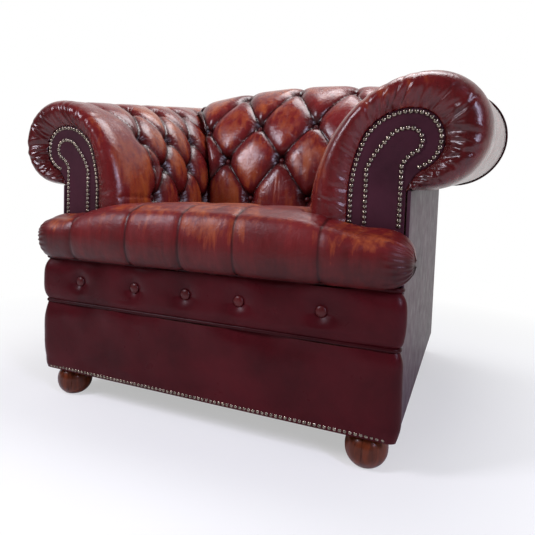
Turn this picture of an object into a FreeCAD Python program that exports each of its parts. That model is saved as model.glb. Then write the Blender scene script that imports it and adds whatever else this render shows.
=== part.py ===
"""Chesterfield armchair: a wooden frame, sprung seat, buttoned leather upholstery and bun feet.

Millimetres, Z up, X to the sitter's left as seen from the front (viewer's right), Y to the back.
The origin lies on the floor under the middle of the chair.
"""
import FreeCAD, Part
import math
import os

import Sketcher
from FreeCAD import Placement, Rotation, Vector

doc = FreeCAD.newDocument("ChesterfieldArmchair")
sheet = doc.addObject("Spreadsheet::Sheet", "Sizes")

DRIVING_SIZES = {
    # carcass
    "base_width": 794,
    "border_ahead": 47,
    "carcass_depth": 749,
    "lower_border_height": 158,
    "upper_border_height": 100,
    "border_thickness": 16,
    "border_corner_radius": 12,
    "board_thickness": 25,
    "panel_thickness": 6,
    "fit_gap": 0.3,
    # feet
    "foot_height": 60,
    "foot_diameter": 76,
    "foot_seat_diameter": 52,
    "foot_floor_diameter": 40,
    "foot_inset": 53,
    "foot_setback": 38,
    "foot_bore_depth": 30,
    "bolt_diameter": 8,
    "bolt_length": 70,
    "insert_diameter": 12,
    "insert_length": 16,
    "block_size": 90,
    "block_height": 60,
    "end_rail_thickness": 45,
    # seat
    "seat_side_overhang": 17,
    "seat_roll_height": 112,
    "seat_overhang": 33,
    "seat_crown": 16,
    "seat_drop": 10,
    "seat_shoulder_drop": 6,
    "seat_edge_drop": 8,
    "seat_rail_below_seam": 18,
    "pleat_depth": 5,
    "pleat_1": -295,
    "pleat_2": -146,
    "pleat_3": -20,
    "pleat_4": 99,
    "pleat_5": 261,
    "seat_button_setback": 95,
    "seat_button_pitch": 110,
    "arm_width": 185,
    "spring_wire": 4,
    "spring_pitch": 82,
    "spring_loop_width": 46,
    "spring_loop_length": 27,
    "clip_room": 22,
    "clip_wall": 1.2,
    "clip_width": 14,
    "hessian_thickness": 1.2,
    # arms
    "front_roll_overhang": 21,
    "front_roll_height": 582,
    "front_roll_radius": 99,
    "back_roll_overhang": 40,
    "back_roll_height": 680,
    "back_roll_radius": 139,
    "arm_pad_thickness": 65,
    "arm_rail_width": 48,
    "arm_board_shoulder": 55,
    "arm_strap_setback": 25,
    "arm_strap_pitch": 105,
    "arm_tuft_pitch": 115,
    "arm_first_button": 122,
    "facing_width": 101,
    "facing_side_margin": 9,
    "facing_thickness": 8,
    "facing_head_radius": 54,
    "facing_head_offset": 25,
    "facing_head_drop": 14,
    "tongue_inset": 28,
    "tongue_outer_margin": 4,
    "tongue_head_radius": 27,
    "tongue_thickness": 1.5,
    "gathered_depth": 30,
    "gathered_proud": 18,
    # back
    "back_face_setback": 352,
    "back_crest_setback": 578,
    "back_crest_height": 822,
    "back_corner_drop": 22,
    "back_edge_drop": 6,
    "back_rail_drop": 60,
    "back_stuffing_depth": 80,
    "back_post_width": 40,
    "back_strap_pitch": 100,
    "back_side_margin": 57,
    "back_tuft_pitch": 170,
    "back_rail_depth": 100,
    "tuft_springline": 436,
    "tuft_depth": 24,
    # trim
    "piping_diameter": 8,
    "button_diameter": 16,
    "border_button_diameter": 22,
    "border_dimple_depth": 5,
    "nail_pitch": 9.2,
    "nail_head_diameter": 8.2,
    "nail_head_height": 3,
    "nail_rim": 0.4,
    "nail_edge_margin": 6,
    "webbing_width": 50,
    "webbing_thickness": 2,
    "dust_cover_thickness": 1.5,
    "dust_cover_inset": 10,
}

# Heights of the button rows, as shares of the rise from the springline to the crest.
DRIVING_SHARES = {
    "tuft_row_1": 0.943,
    "tuft_row_2": 0.658,
    "tuft_row_3": 0.394,
    "tuft_row_4": 0.098,
}


class Size:
    """A length known both as a number and as an expression on the sheet."""

    def __init__(self, number, text):
        self.number = float(number)
        self.text = text

    def __float__(self):
        return self.number

    def join(self, other, sign, value, swap=False):
        other_text = other.text if isinstance(other, Size) else repr(float(other))
        first, second = (other_text, self.text) if swap else (self.text, other_text)
        return Size(value, f"({first} {sign} {second})")

    def __add__(self, other):
        return self.join(other, "+", self.number + float(other))

    def __radd__(self, other):
        return self.join(other, "+", float(other) + self.number, swap=True)

    def __sub__(self, other):
        return self.join(other, "-", self.number - float(other))

    def __rsub__(self, other):
        return self.join(other, "-", float(other) - self.number, swap=True)

    def __mul__(self, other):
        return self.join(other, "*", self.number * float(other))

    def __rmul__(self, other):
        return self.join(other, "*", float(other) * self.number, swap=True)

    def __truediv__(self, other):
        return self.join(other, "/", self.number / float(other))

    def __neg__(self):
        return Size(-self.number, f"(0 - {self.text})")


sizes = {}
driving = {**DRIVING_SIZES, **DRIVING_SHARES}
for row, (name, number) in enumerate(driving.items(), start=1):
    sheet.set(f"A{row}", name)
    sheet.set(f"B{row}", str(number))
    sheet.setAlias(f"B{row}", name)
doc.recompute()
for name in driving:
    sizes[name] = Size(sheet.get(name), f"Sizes.{name}")


def size(name):
    return sizes[name]


# Places worked out from the driving sizes, each with its expression.
HALF_BASE = size("base_width") / 2
TOTAL_DEPTH = size("seat_overhang") + size("border_ahead") + size("carcass_depth")
FRONT_BULGE = -TOTAL_DEPTH / 2
BORDER_FRONT = FRONT_BULGE + size("seat_overhang")
BORDER_BACK = BORDER_FRONT + size("border_thickness")
FACING_FRONT = BORDER_FRONT + size("border_ahead")
BACK_OUTSIDE = FACING_FRONT + size("carcass_depth")
BACK_INSIDE = BACK_OUTSIDE - size("panel_thickness")
BASE_BOTTOM = size("foot_height")
BORDER_SEAM = BASE_BOTTOM + size("lower_border_height")
SEAT_SEAM = BORDER_SEAM + size("upper_border_height")
SEAT_FRONT_TOP = SEAT_SEAM + size("seat_roll_height")
BOARD = size("board_thickness")
PANEL = size("panel_thickness")
GAP = size("fit_gap")
SIDE_INSIDE = HALF_BASE - PANEL
HALF_SEAT_GAP = HALF_BASE - size("arm_width")
RAIL_TOP = SEAT_SEAM - size("seat_rail_below_seam")
SEAT_RAIL_BOTTOM = RAIL_TOP - BOARD
CLIP_WALL = size("clip_wall")
HESSIAN_BOTTOM = RAIL_TOP + size("spring_wire") + 2 * GAP + CLIP_WALL
PAD_BOTTOM = HESSIAN_BOTTOM + size("hessian_thickness")
ARM_INNER_FRAME = HALF_SEAT_GAP + size("arm_pad_thickness")
BACK_FACE = FACING_FRONT + size("back_face_setback")
BACK_CREST = FACING_FRONT + size("back_crest_setback")
BACK_FRAME = BACK_FACE + size("back_stuffing_depth")
ARM_PAD_START = FACING_FRONT + size("gathered_depth")
FRONT_RAIL_BACK = BORDER_BACK + size("end_rail_thickness")
BACK_RAIL_FRONT = BACK_INSIDE - size("end_rail_thickness")
FRONT_ROLL_X = HALF_BASE + size("front_roll_overhang")
BACK_ROLL_X = HALF_BASE + size("back_roll_overhang")
HALF_SEAT = HALF_BASE + size("seat_side_overhang")
HALF_BACK = HALF_BASE - size("back_side_margin")
BACK_EDGE_HEIGHT = size("back_crest_height") - size("back_edge_drop")
SIDES = {"left": -1, "right": 1}

nodes = []


def keep(item, label):
    """Names a finished sub-part and puts it on the list of parts to write."""
    item.Label = label
    nodes.append(item)
    return item


def bind(item, **expressions):
    for prop, value in expressions.items():
        item.setExpression(prop.replace("__", "."), value.text if isinstance(value, Size) else str(value))
    return item


def place(item, corner):
    for axis, value in zip("xyz", corner):
        text = value.text if isinstance(value, Size) else str(float(value))
        item.setExpression(f"Placement.Base.{axis}", text)
    return item


def box(label, corner, length, width, height):
    """A board or sheet with its lowest corner at the given place."""
    item = doc.addObject("Part::Box", label)
    bind(item, Length=length, Width=width, Height=height)
    return place(item, corner)


def cylinder(label, foot, diameter, height):
    item = doc.addObject("Part::Cylinder", label)
    bind(item, Radius=diameter / 2, Height=height)
    return place(item, foot)


def cut(label, base, tools):
    for number, tool in enumerate(tools):
        item = doc.addObject("Part::Cut", f"{label}_cut_{number}")
        item.Base = base
        item.Tool = tool
        base = item
    return base


def shape_part(label, shape):
    """A sub-part made with shape functions, where neither a sketch nor a primitive fits."""
    item = doc.addObject("Part::Feature", label)
    item.Shape = shape
    return keep(item, label)


def mirrored(side, value):
    """The lower X of a piece on one side, from its inner and outer X on the right side."""
    inner, outer = value
    return inner if side > 0 else -outer


def vec(x, y, z):
    return Vector(float(x), float(y), float(z))


def line(a, b):
    return Part.LineSegment(a, b).toShape()


def arc(a, middle, b):
    return Part.Arc(a, middle, b).toShape()


def solid(shape):
    """The one solid of a loft or cut, with outward faces."""
    found = shape.Solids[0].copy()
    if found.Volume < 0:
        found.reverse()
    return found


def origin_plane(body, role):
    return next(feature for feature in body.Origin.OriginFeatures if feature.Role == role)


def outline_sketch(body, label, role, outline):
    """A closed sketch through (across, up, radius) corners, each reached by a line or an arc.

    A radius of None is a straight run; a positive one bulges outwards from a counter-clockwise
    outline and a negative one bulges inwards.
    """
    sketch = body.newObject("Sketcher::SketchObject", f"{label}_outline")
    sketch.AttachmentSupport = (origin_plane(body, role), "")
    sketch.MapMode = "FlatFace"
    count = len(outline)
    points = [vec(across, up, 0) for across, up, radius in outline]
    begins_at_corner = []
    for index in range(count):
        start = points[index]
        end = points[(index + 1) % count]
        radius = outline[(index + 1) % count][2]
        if radius is None:
            sketch.addGeometry(Part.LineSegment(start, end), False)
            begins_at_corner.append(True)
            continue
        half = (end - start).Length / 2
        rise = abs(float(radius)) - math.sqrt(float(radius) ** 2 - half ** 2)
        outwards = Vector(end.y - start.y, start.x - end.x, 0).normalize()
        middle = (start + end) / 2 + outwards * math.copysign(rise, float(radius))
        bulges_out = float(radius) > 0
        first, last = (start, end) if bulges_out else (end, start)
        sketch.addGeometry(Part.Arc(first, middle, last), False)
        begins_at_corner.append(bulges_out)
    for index in range(count):
        following = (index + 1) % count
        leaving = 2 if begins_at_corner[index] else 1
        arriving = 1 if begins_at_corner[following] else 2
        sketch.addConstraint(Sketcher.Constraint("Coincident", index, leaving, following, arriving))
    for index, (across, up, radius) in enumerate(outline):
        corner = 1 if begins_at_corner[index] else 2
        for kind, value in (("DistanceX", across), ("DistanceY", up)):
            number = sketch.addConstraint(Sketcher.Constraint(kind, -1, 1, index, corner, float(value)))
            if isinstance(value, Size):
                sketch.setExpression(f"Constraints[{number}]", value.text)
        if radius is not None:
            before = (index - 1) % count
            number = sketch.addConstraint(Sketcher.Constraint("Radius", before, abs(float(radius))))
            if isinstance(radius, Size) and float(radius) > 0:
                sketch.setExpression(f"Constraints[{number}]", radius.text)
            elif isinstance(radius, Size):
                sketch.setExpression(f"Constraints[{number}]", f"0 - {radius.text}")
    return sketch


def revolved_body(label, outline):
    """A turned piece about Z, from an outline of radii and heights."""
    body = doc.addObject("PartDesign::Body", label)
    sketch = outline_sketch(body, label, "XZ_Plane", outline)
    turning = body.newObject("PartDesign::Revolution", f"{label}_turning")
    turning.Profile = sketch
    turning.ReferenceAxis = (sketch, ["V_Axis"])
    turning.Angle = 360
    body.Tip = turning
    return body


def padded_body(label, role, outline, thickness, backwards=False):
    """A board cut to an outline on an origin plane."""
    body = doc.addObject("PartDesign::Body", label)
    sketch = outline_sketch(body, label, role, outline)
    pad = body.newObject("PartDesign::Pad", f"{label}_board")
    pad.Profile = sketch
    pad.setExpression("Length", thickness.text)
    pad.Reversed = backwards
    body.Tip = pad
    return body


def group_of(master, places, turns=None):
    """Copies of one solid, each moved to its own place and turned to its own direction."""
    copies = []
    for number, spot in enumerate(places):
        turn = turns[number] if turns else Rotation()
        item = master.copy()
        item.Placement = Placement(spot, turn)
        copies.append(item)
    return Part.makeCompound(copies)


def facing_direction(direction):
    return Rotation(Vector(0, 0, 1), direction)


# Feet, with the bolts that hold them.

def foot_outline():
    """Bun foot: flat floor disc, round belly, short neck up to the base."""
    half_height = size("foot_height") / 2
    floor_radius = size("foot_floor_diameter") / 2
    seat_radius = size("foot_seat_diameter") / 2
    belly_radius = size("foot_diameter") / 2
    bore = size("bolt_diameter") / 2 + GAP
    bore_floor = size("foot_height") - size("foot_bore_depth")
    return [
        (0, 0, None),
        (floor_radius, 0, None),
        (belly_radius, half_height, belly_radius * 0.92),
        (seat_radius, size("foot_height"), belly_radius * 0.92),
        (bore, size("foot_height"), None),
        (bore, bore_floor, None),
        (0, bore_floor, None),
    ]


FOOT_X = HALF_BASE - size("foot_inset")
FOOT_Y = {
    "front": BORDER_FRONT + size("foot_setback"),
    "rear": BACK_OUTSIDE - size("foot_setback"),
}
foot_places = []
for side_name, side in SIDES.items():
    for end_name, foot_y in FOOT_Y.items():
        foot = revolved_body(f"foot_{end_name}_{side_name}", foot_outline())
        place(foot, (FOOT_X * side, foot_y, 0))
        keep(foot, f"foot_{end_name}_{side_name}")
        foot_places.append((side, end_name, FOOT_X * side, foot_y))

foot_centres = [vec(foot_x, foot_y, 0) for side, end_name, foot_x, foot_y in foot_places]
BOLT_BOTTOM = BASE_BOTTOM - size("foot_bore_depth") + 1
INSERT_TOP = BASE_BOTTOM + size("insert_length")
bolt = Part.makeCylinder(float(size("bolt_diameter") / 2), float(size("bolt_length")), vec(0, 0, BOLT_BOTTOM))
insert_outside = Part.makeCylinder(
    float(size("insert_diameter") / 2), float(size("insert_length")), vec(0, 0, BASE_BOTTOM))
insert_bore = Part.makeCylinder(
    float(size("bolt_diameter") / 2 + GAP), float(size("insert_length")), vec(0, 0, BASE_BOTTOM))
shape_part("foot_bolts", group_of(bolt, foot_centres))
shape_part("foot_inserts", group_of(insert_outside.cut(insert_bore), foot_centres))


# Wooden frame.

def drilled_rail(label, corner, length, width, height):
    """A base rail with its two holes for the feet's bolts and inserts."""
    rail = box(f"{label}_timber", corner, length, width, height)
    tools = []
    for side, end_name, foot_x, foot_y in foot_places:
        if not label.startswith({"front": "front", "rear": "back"}[end_name]):
            continue
        insert_hole = cylinder(
            f"{label}_insert_hole_{side}", (foot_x, foot_y, BASE_BOTTOM),
            size("insert_diameter") + 2 * GAP, size("insert_length") + GAP)
        bolt_hole = cylinder(
            f"{label}_bolt_hole_{side}", (foot_x, foot_y, BASE_BOTTOM),
            size("bolt_diameter") + 2 * GAP, size("bolt_length"))
        tools += [insert_hole, bolt_hole]
    keep(cut(label, rail, tools), label)


BASE_RAIL_HEIGHT = SEAT_RAIL_BOTTOM - BASE_BOTTOM
drilled_rail("front_rail", (-SIDE_INSIDE, BORDER_BACK, BASE_BOTTOM),
             2 * SIDE_INSIDE, size("end_rail_thickness"), BASE_RAIL_HEIGHT)
drilled_rail("back_rail", (-SIDE_INSIDE, BACK_RAIL_FRONT, BASE_BOTTOM),
             2 * SIDE_INSIDE, size("end_rail_thickness"), BASE_RAIL_HEIGHT)

SIDE_RAIL_INNER = SIDE_INSIDE - BOARD
POST_INNER = SIDE_INSIDE - size("arm_rail_width")
SLOPE_RISE = (size("back_roll_height") - size("back_roll_radius")
              - size("front_roll_height") + size("front_roll_radius"))
ARM_RAIL_START = FACING_FRONT + size("gathered_depth") + GAP
FRONT_UNDERSIDE = size("front_roll_height") - size("front_roll_radius")


def share_of_depth(y):
    """How far a place lies from the arm facing to the outside back, from 0 to 1."""
    return (float(y) - float(FACING_FRONT)) / float(size("carcass_depth"))


def underside_at(y):
    """Height of the arm roll's underside, which climbs towards the back."""
    return float(FRONT_UNDERSIDE) + float(SLOPE_RISE) * share_of_depth(y)


for side_name, side in SIDES.items():
    keep(box(f"side_rail_{side_name}",
             (mirrored(side, (SIDE_RAIL_INNER, SIDE_INSIDE)), FRONT_RAIL_BACK, BASE_BOTTOM),
             BOARD, BACK_RAIL_FRONT - FRONT_RAIL_BACK, BASE_RAIL_HEIGHT), f"side_rail_{side_name}")

blocks = []
for side, end_name, foot_x, foot_y in foot_places:
    inward = 1 if end_name == "front" else -1
    rail_face = FRONT_RAIL_BACK if end_name == "front" else BACK_RAIL_FRONT
    corner = vec(SIDE_RAIL_INNER * side, rail_face, BASE_BOTTOM)
    along_x = corner + Vector(-side * float(size("block_size")), 0, 0)
    along_y = corner + Vector(0, inward * float(size("block_size")), 0)
    outline = Part.Face(Part.makePolygon([corner, along_x, along_y, corner]))
    blocks.append(outline.extrude(Vector(0, 0, float(size("block_height")))))
shape_part("corner_blocks", Part.makeCompound(blocks))

# The seat frame lies on the base rails and carries the springs and the inside pads.
SEAT_RAIL_DEPTH = ARM_PAD_START - BORDER_BACK
keep(box("front_seat_rail", (-SIDE_INSIDE, BORDER_BACK, SEAT_RAIL_BOTTOM),
         2 * SIDE_INSIDE, SEAT_RAIL_DEPTH, BOARD), "front_seat_rail")
BACK_SEAT_RAIL_DEPTH = size("arm_rail_width")
CLIP_ROOM = size("clip_room")
BACK_SEAT_RAIL_FRONT = BACK_FRAME - CLIP_ROOM
keep(box("back_seat_rail", (-SIDE_INSIDE, BACK_SEAT_RAIL_FRONT, SEAT_RAIL_BOTTOM),
         2 * SIDE_INSIDE, BACK_SEAT_RAIL_DEPTH, BOARD), "back_seat_rail")
for side_name, side in SIDES.items():
    inner = HALF_SEAT_GAP + BOARD
    keep(box(f"seat_side_rail_{side_name}",
             (mirrored(side, (inner, ARM_INNER_FRAME + BOARD)), ARM_PAD_START, SEAT_RAIL_BOTTOM),
             ARM_INNER_FRAME + BOARD - inner, BACK_SEAT_RAIL_FRONT - ARM_PAD_START, BOARD),
         f"seat_side_rail_{side_name}")


def upright(label, inner, outer, side, front, depth, bottom, top):
    """A standing post on one side, up to a given height."""
    return keep(box(label, (mirrored(side, (inner, outer)), front, bottom),
                    outer - inner, depth, top - bottom), label)


POST_DEPTH = size("arm_rail_width")
FRONT_POST_TOP = FRONT_UNDERSIDE + SLOPE_RISE * ((ARM_RAIL_START - FACING_FRONT) / size("carcass_depth"))
REAR_POST_FRONT = BACK_INSIDE - POST_DEPTH
REAR_POST_TOP = FRONT_UNDERSIDE + SLOPE_RISE * ((REAR_POST_FRONT - FACING_FRONT) / size("carcass_depth"))
for side_name, side in SIDES.items():
    upright(f"front_arm_post_{side_name}", POST_INNER, SIDE_INSIDE, side,
            ARM_RAIL_START, POST_DEPTH, SEAT_RAIL_BOTTOM, FRONT_POST_TOP)
    upright(f"rear_arm_post_{side_name}", POST_INNER, SIDE_INSIDE, side,
            REAR_POST_FRONT, POST_DEPTH, SEAT_RAIL_BOTTOM, REAR_POST_TOP)

# The arm board slopes up under the roll, wide beside the seat and narrow beside the back.
slope_angle = math.degrees(math.atan2(float(SLOPE_RISE), float(size("carcass_depth"))))
slope = math.cos(math.radians(slope_angle))
BOARD_SHOULDER = BACK_FACE + size("arm_board_shoulder")
for side_name, side in SIDES.items():
    front_y, shoulder_y, rear_y = (
        float(edge - FACING_FRONT) / slope for edge in (ARM_RAIL_START, BOARD_SHOULDER, BACK_INSIDE))
    front_y += float(BOARD) * math.tan(math.radians(slope_angle))
    inner_x = float(ARM_INNER_FRAME + GAP) * side
    post_x = float(POST_INNER) * side
    outer_x = float(SIDE_INSIDE) * side
    plan = [Vector(outer_x, front_y, 0), Vector(outer_x, rear_y, 0), Vector(post_x, rear_y, 0),
            Vector(post_x, shoulder_y, 0), Vector(inner_x, shoulder_y, 0), Vector(inner_x, front_y, 0)]
    board = Part.Face(Part.makePolygon(plan + plan[:1])).extrude(Vector(0, 0, float(BOARD)))
    arm_board = shape_part(f"arm_board_{side_name}", board)
    arm_board.Placement = Placement(
        vec(0, FACING_FRONT, FRONT_UNDERSIDE), Rotation(Vector(1, 0, 0), slope_angle))

# Back frame: two posts, a top board and two leaning uprights behind the inside back.
BACK_RAIL_TOP = BACK_EDGE_HEIGHT - size("back_rail_drop")
BACK_TOP_BOTTOM = BACK_RAIL_TOP - BOARD
BACK_TOP_FRONT = BACK_INSIDE - size("back_rail_depth")
BACK_HALF = HALF_BACK - 4
keep(box("back_top_rail", (-BACK_HALF, BACK_TOP_FRONT, BACK_TOP_BOTTOM),
         2 * BACK_HALF, size("back_rail_depth"), BOARD), "back_top_rail")
for side_name, side in SIDES.items():
    upright(f"back_post_{side_name}", BACK_HALF - size("back_post_width"), BACK_HALF, side,
            BACK_RAIL_FRONT, size("end_rail_thickness"), SEAT_RAIL_BOTTOM, BACK_TOP_BOTTOM)
    lean_front = vec(0, BACK_FRAME + GAP, RAIL_TOP)
    lean_top = vec(0, BACK_TOP_FRONT + GAP, BACK_TOP_BOTTOM)
    lean_depth = Vector(0, float(BOARD), 0)
    leaning = Part.Face(Part.makePolygon(
        [lean_front, lean_top, lean_top + lean_depth, lean_front + lean_depth, lean_front]))
    board = leaning.extrude(Vector(float(size("webbing_width")), 0, 0))
    low_x = mirrored(side, (size("back_tuft_pitch"), size("back_tuft_pitch") + size("webbing_width")))
    board.translate(vec(low_x, 0, 0))
    shape_part(f"back_upright_{side_name}", board)


# Springs, webbing and cloths that carry the stuffing.

def sinuous_spring(centre_x):
    """A zig-zag seat spring of one wire, from the front seat rail to the back one."""
    radius = float(size("spring_loop_length")) / 4
    reach = float(size("spring_loop_width")) / 2 - radius
    start_y = float(ARM_PAD_START) - float(CLIP_ROOM) / 2
    span = float(BACK_FRAME) - float(CLIP_ROOM) / 2 - start_y
    turns = int(span // (2 * radius))
    lift = float(RAIL_TOP + size("spring_wire") / 2)
    edges = []
    for turn in range(turns):
        side = 1 if turn % 2 == 0 else -1
        y = start_y + turn * 2 * radius
        run_start = Vector(centre_x - side * reach, y, lift)
        run_end = Vector(centre_x + side * reach, y, lift)
        edges.append(line(run_start, run_end))
        bend = Vector(run_end.x + side * radius, y + radius, lift)
        edges.append(arc(run_end, bend, run_end + Vector(0, 2 * radius, 0)))
    last = edges[-1].Vertexes[-1].Point
    side = 1 if turns % 2 == 0 else -1
    end = Vector(centre_x + side * reach, last.y, lift)
    edges.append(line(last, end))
    path = Part.Wire(edges)
    circle = Part.Wire(Part.makeCircle(
        float(size("spring_wire")) / 2, edges[0].Vertexes[0].Point, Vector(1, 0, 0)))
    return solid(path.makePipeShell([circle], True, True)), start_y, last.y


spring_count = int(float(2 * HALF_SEAT_GAP) // float(size("spring_pitch")))
spring_centres = [(place_number - (spring_count - 1) / 2) * float(size("spring_pitch"))
                  for place_number in range(spring_count)]
springs = []
clip_places = []
for centre_x in spring_centres:
    spring, first_y, last_y = sinuous_spring(centre_x)
    springs.append(spring)
    clip_places += [Vector(centre_x, first_y, float(RAIL_TOP)), Vector(centre_x, last_y, float(RAIL_TOP))]
shape_part("seat_springs", Part.makeCompound(springs))

wire = float(size("spring_wire"))
clip_wall = float(CLIP_WALL)
clip_width = float(size("clip_width"))
clip_room = wire / 2 + float(GAP)
clip_outline = [Vector(0, -clip_room - clip_wall, 0), Vector(0, -clip_room, 0),
                Vector(0, -clip_room, wire + float(GAP)), Vector(0, clip_room, wire + float(GAP)),
                Vector(0, clip_room, 0), Vector(0, clip_room + clip_wall, 0),
                Vector(0, clip_room + clip_wall, wire + float(GAP) + clip_wall),
                Vector(0, -clip_room - clip_wall, wire + float(GAP) + clip_wall)]
clip = Part.Face(Part.makePolygon(clip_outline + clip_outline[:1])).extrude(Vector(clip_width, 0, 0))
clip.translate(Vector(-clip_width / 2, 0, 0))
shape_part("spring_clips", group_of(clip, clip_places))

keep(box("seat_hessian", (-HALF_SEAT_GAP, FACING_FRONT, HESSIAN_BOTTOM),
         2 * HALF_SEAT_GAP, BACK_FRAME - FACING_FRONT, size("hessian_thickness")),
     "seat_hessian")


# Buttoned pads: sections across a rounded profile, joined by straight lines from one to the next.

def tuft_angles():
    """The profile angles of the four button rows, from the top one down."""
    return [math.asin(float(size(f"tuft_row_{number}"))) for number in (1, 2, 3, 4)]


TOP_ROW, SECOND_ROW, THIRD_ROW, LOW_ROW = tuft_angles()
ODD_ROWS = (TOP_ROW, THIRD_ROW)
EVEN_ROWS = (SECOND_ROW, LOW_ROW)
PROFILE_STOPS = (0, LOW_ROW, THIRD_ROW, SECOND_ROW, TOP_ROW, math.pi / 2)


class Profile:
    """A quarter ellipse that rises from a vertical inner face to a level crest."""

    def __init__(self, face, crest, crest_height):
        self.face = float(face)
        self.crest = float(crest)
        self.springline = float(size("tuft_springline"))
        self.crest_height = float(crest_height)

    def point(self, angle, inset=0.0):
        """The place at an angle up the profile, as (across, height), drawn in by an inset."""
        reach = self.crest - self.face - inset
        rise = self.crest_height - self.springline - inset
        return self.crest - reach * math.cos(angle), self.springline + rise * math.sin(angle)

    def normal(self, angle):
        """The outward direction at an angle, as (across, up)."""
        reach = self.crest - self.face
        rise = self.crest_height - self.springline
        across, up = -math.cos(angle) / reach, math.sin(angle) / rise
        length = math.hypot(across, up)
        return across / length, up / length


def tufted_edges(profile, place, dip_rows):
    """Arcs up a profile that dip at the given rows and crown between them.

    The place function turns (across, height) into a point of the section's plane.
    """
    depth = float(size("tuft_depth"))
    edges = []
    for low, high in zip(PROFILE_STOPS, PROFILE_STOPS[1:]):
        low_inset = depth if low in dip_rows else 0.0
        high_inset = depth if high in dip_rows else 0.0
        middle_inset = (low_inset + high_inset) / 4
        edges.append(arc(place(*profile.point(low, low_inset)),
                         place(*profile.point((low + high) / 2, middle_inset)),
                         place(*profile.point(high, high_inset))))
    return edges


def button_pocket(spot, outwards, diameter):
    """The room that a button needs, from its seat out past the leather."""
    return Part.makeCylinder(diameter / 2 + float(GAP), 2.5 * float(size("tuft_depth")), spot, outwards)


def domed_disc(radius, rim, rise):
    """A disc with a flat back, a short straight rim and a part-sphere face."""
    sphere_radius = (radius ** 2 + rise ** 2) / (2 * rise)
    half_angle = math.asin(radius / sphere_radius) / 2
    middle = Vector(sphere_radius * math.sin(half_angle), 0,
                    rim + rise - sphere_radius * (1 - math.cos(half_angle)))
    shoulder = Vector(radius, 0, rim)
    top = Vector(0, 0, rim + rise)
    outline = [line(Vector(), Vector(radius, 0, 0)), line(Vector(radius, 0, 0), shoulder),
               arc(shoulder, middle, top), line(top, Vector())]
    return solid(Part.Face(Part.Wire(outline)).revolve(Vector(), Vector(0, 0, 1), 360))


def make_button(diameter):
    """A covered button with a low domed face."""
    return domed_disc(diameter / 2, diameter * 0.12, diameter * 0.25)


tuft_button = make_button(float(size("button_diameter")))
border_button = make_button(float(size("border_button_diameter")))


# Arms.

def arm_roll(y):
    """Centre and radius of the arm roll at a place along the arm, on the right side."""
    share = share_of_depth(y)

    def between(front, back):
        return float(front) + share * float(back - front)
    return (between(FRONT_ROLL_X, BACK_ROLL_X),
            between(size("front_roll_height"), size("back_roll_height")),
            between(size("front_roll_radius"), size("back_roll_radius")))


def arm_profile(y, inset=0.0):
    centre_x, centre_z, radius = arm_roll(y)
    return Profile(float(HALF_SEAT_GAP) + inset, centre_x, centre_z + radius - inset)


def arm_section(side, y, dip_rows=(), inset=0.0):
    """A closed section of the arm's stuffing at one place along it."""
    centre_x, centre_z, radius = arm_roll(y)
    radius -= inset

    def place_in_plane(across, height):
        return Vector(side * across, y, height)
    edges = tufted_edges(arm_profile(y, inset), place_in_plane, dip_rows)
    lean = math.radians(45)
    crest = place_in_plane(centre_x, centre_z + radius)
    outer = place_in_plane(centre_x + radius, centre_z)
    under = place_in_plane(centre_x, centre_z - radius)
    over_middle = place_in_plane(centre_x + radius * math.sin(lean), centre_z + radius * math.cos(lean))
    under_middle = place_in_plane(centre_x + radius * math.sin(lean), centre_z - radius * math.cos(lean))
    board_outer = float(SIDE_INSIDE + GAP)
    board_top = underside_at(y) + float(BOARD) / slope + float(GAP)
    inner_frame = float(ARM_INNER_FRAME)
    bottom = float(PAD_BOTTOM)
    corners = [under, place_in_plane(board_outer, centre_z - radius + 1), place_in_plane(board_outer, board_top),
               place_in_plane(inner_frame, board_top), place_in_plane(inner_frame, bottom),
               place_in_plane(float(HALF_SEAT_GAP) + inset, bottom), edges[0].Vertexes[0].Point]
    edges += [arc(crest, over_middle, outer), arc(outer, under_middle, under)]
    edges += [line(a, b) for a, b in zip(corners, corners[1:])]
    return Part.Wire(edges)


MITRE = float(BACK_FACE) - float(HALF_SEAT_GAP)
BACK_HALF_WIDTH = float(HALF_BACK)
ROOM_ABOVE = 1.5 * float(size("back_crest_height"))


def back_zone(clearance):
    """The space of the inside back: behind a mitre from each seat corner, between the arm rolls."""
    reach = BACK_HALF_WIDTH + clearance
    step = clearance * math.sqrt(2)
    rear = float(BACK_OUTSIDE + BOARD)
    near = BACK_HALF_WIDTH / 6
    plan = [Vector(near, near + MITRE - step, 0), Vector(reach, reach + MITRE - step, 0), Vector(reach, rear, 0),
            Vector(-reach, rear, 0), Vector(-reach, reach + MITRE - step, 0), Vector(-near, near + MITRE - step, 0)]
    return Part.Face(Part.makePolygon(plan + plan[:1])).extrude(Vector(0, 0, ROOM_ABOVE))


def arm_columns():
    """Places along the arm, each with the rows that its buttons are in."""
    half = float(size("arm_tuft_pitch")) / 2
    first = float(FACING_FRONT + size("arm_first_button"))
    corner = float(BACK_CREST) - half
    columns = []
    number = 0
    while first + number * half < corner:
        columns.append((first + number * half, EVEN_ROWS if number % 2 == 0 else ODD_ROWS))
        number += 1
    return columns


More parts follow.
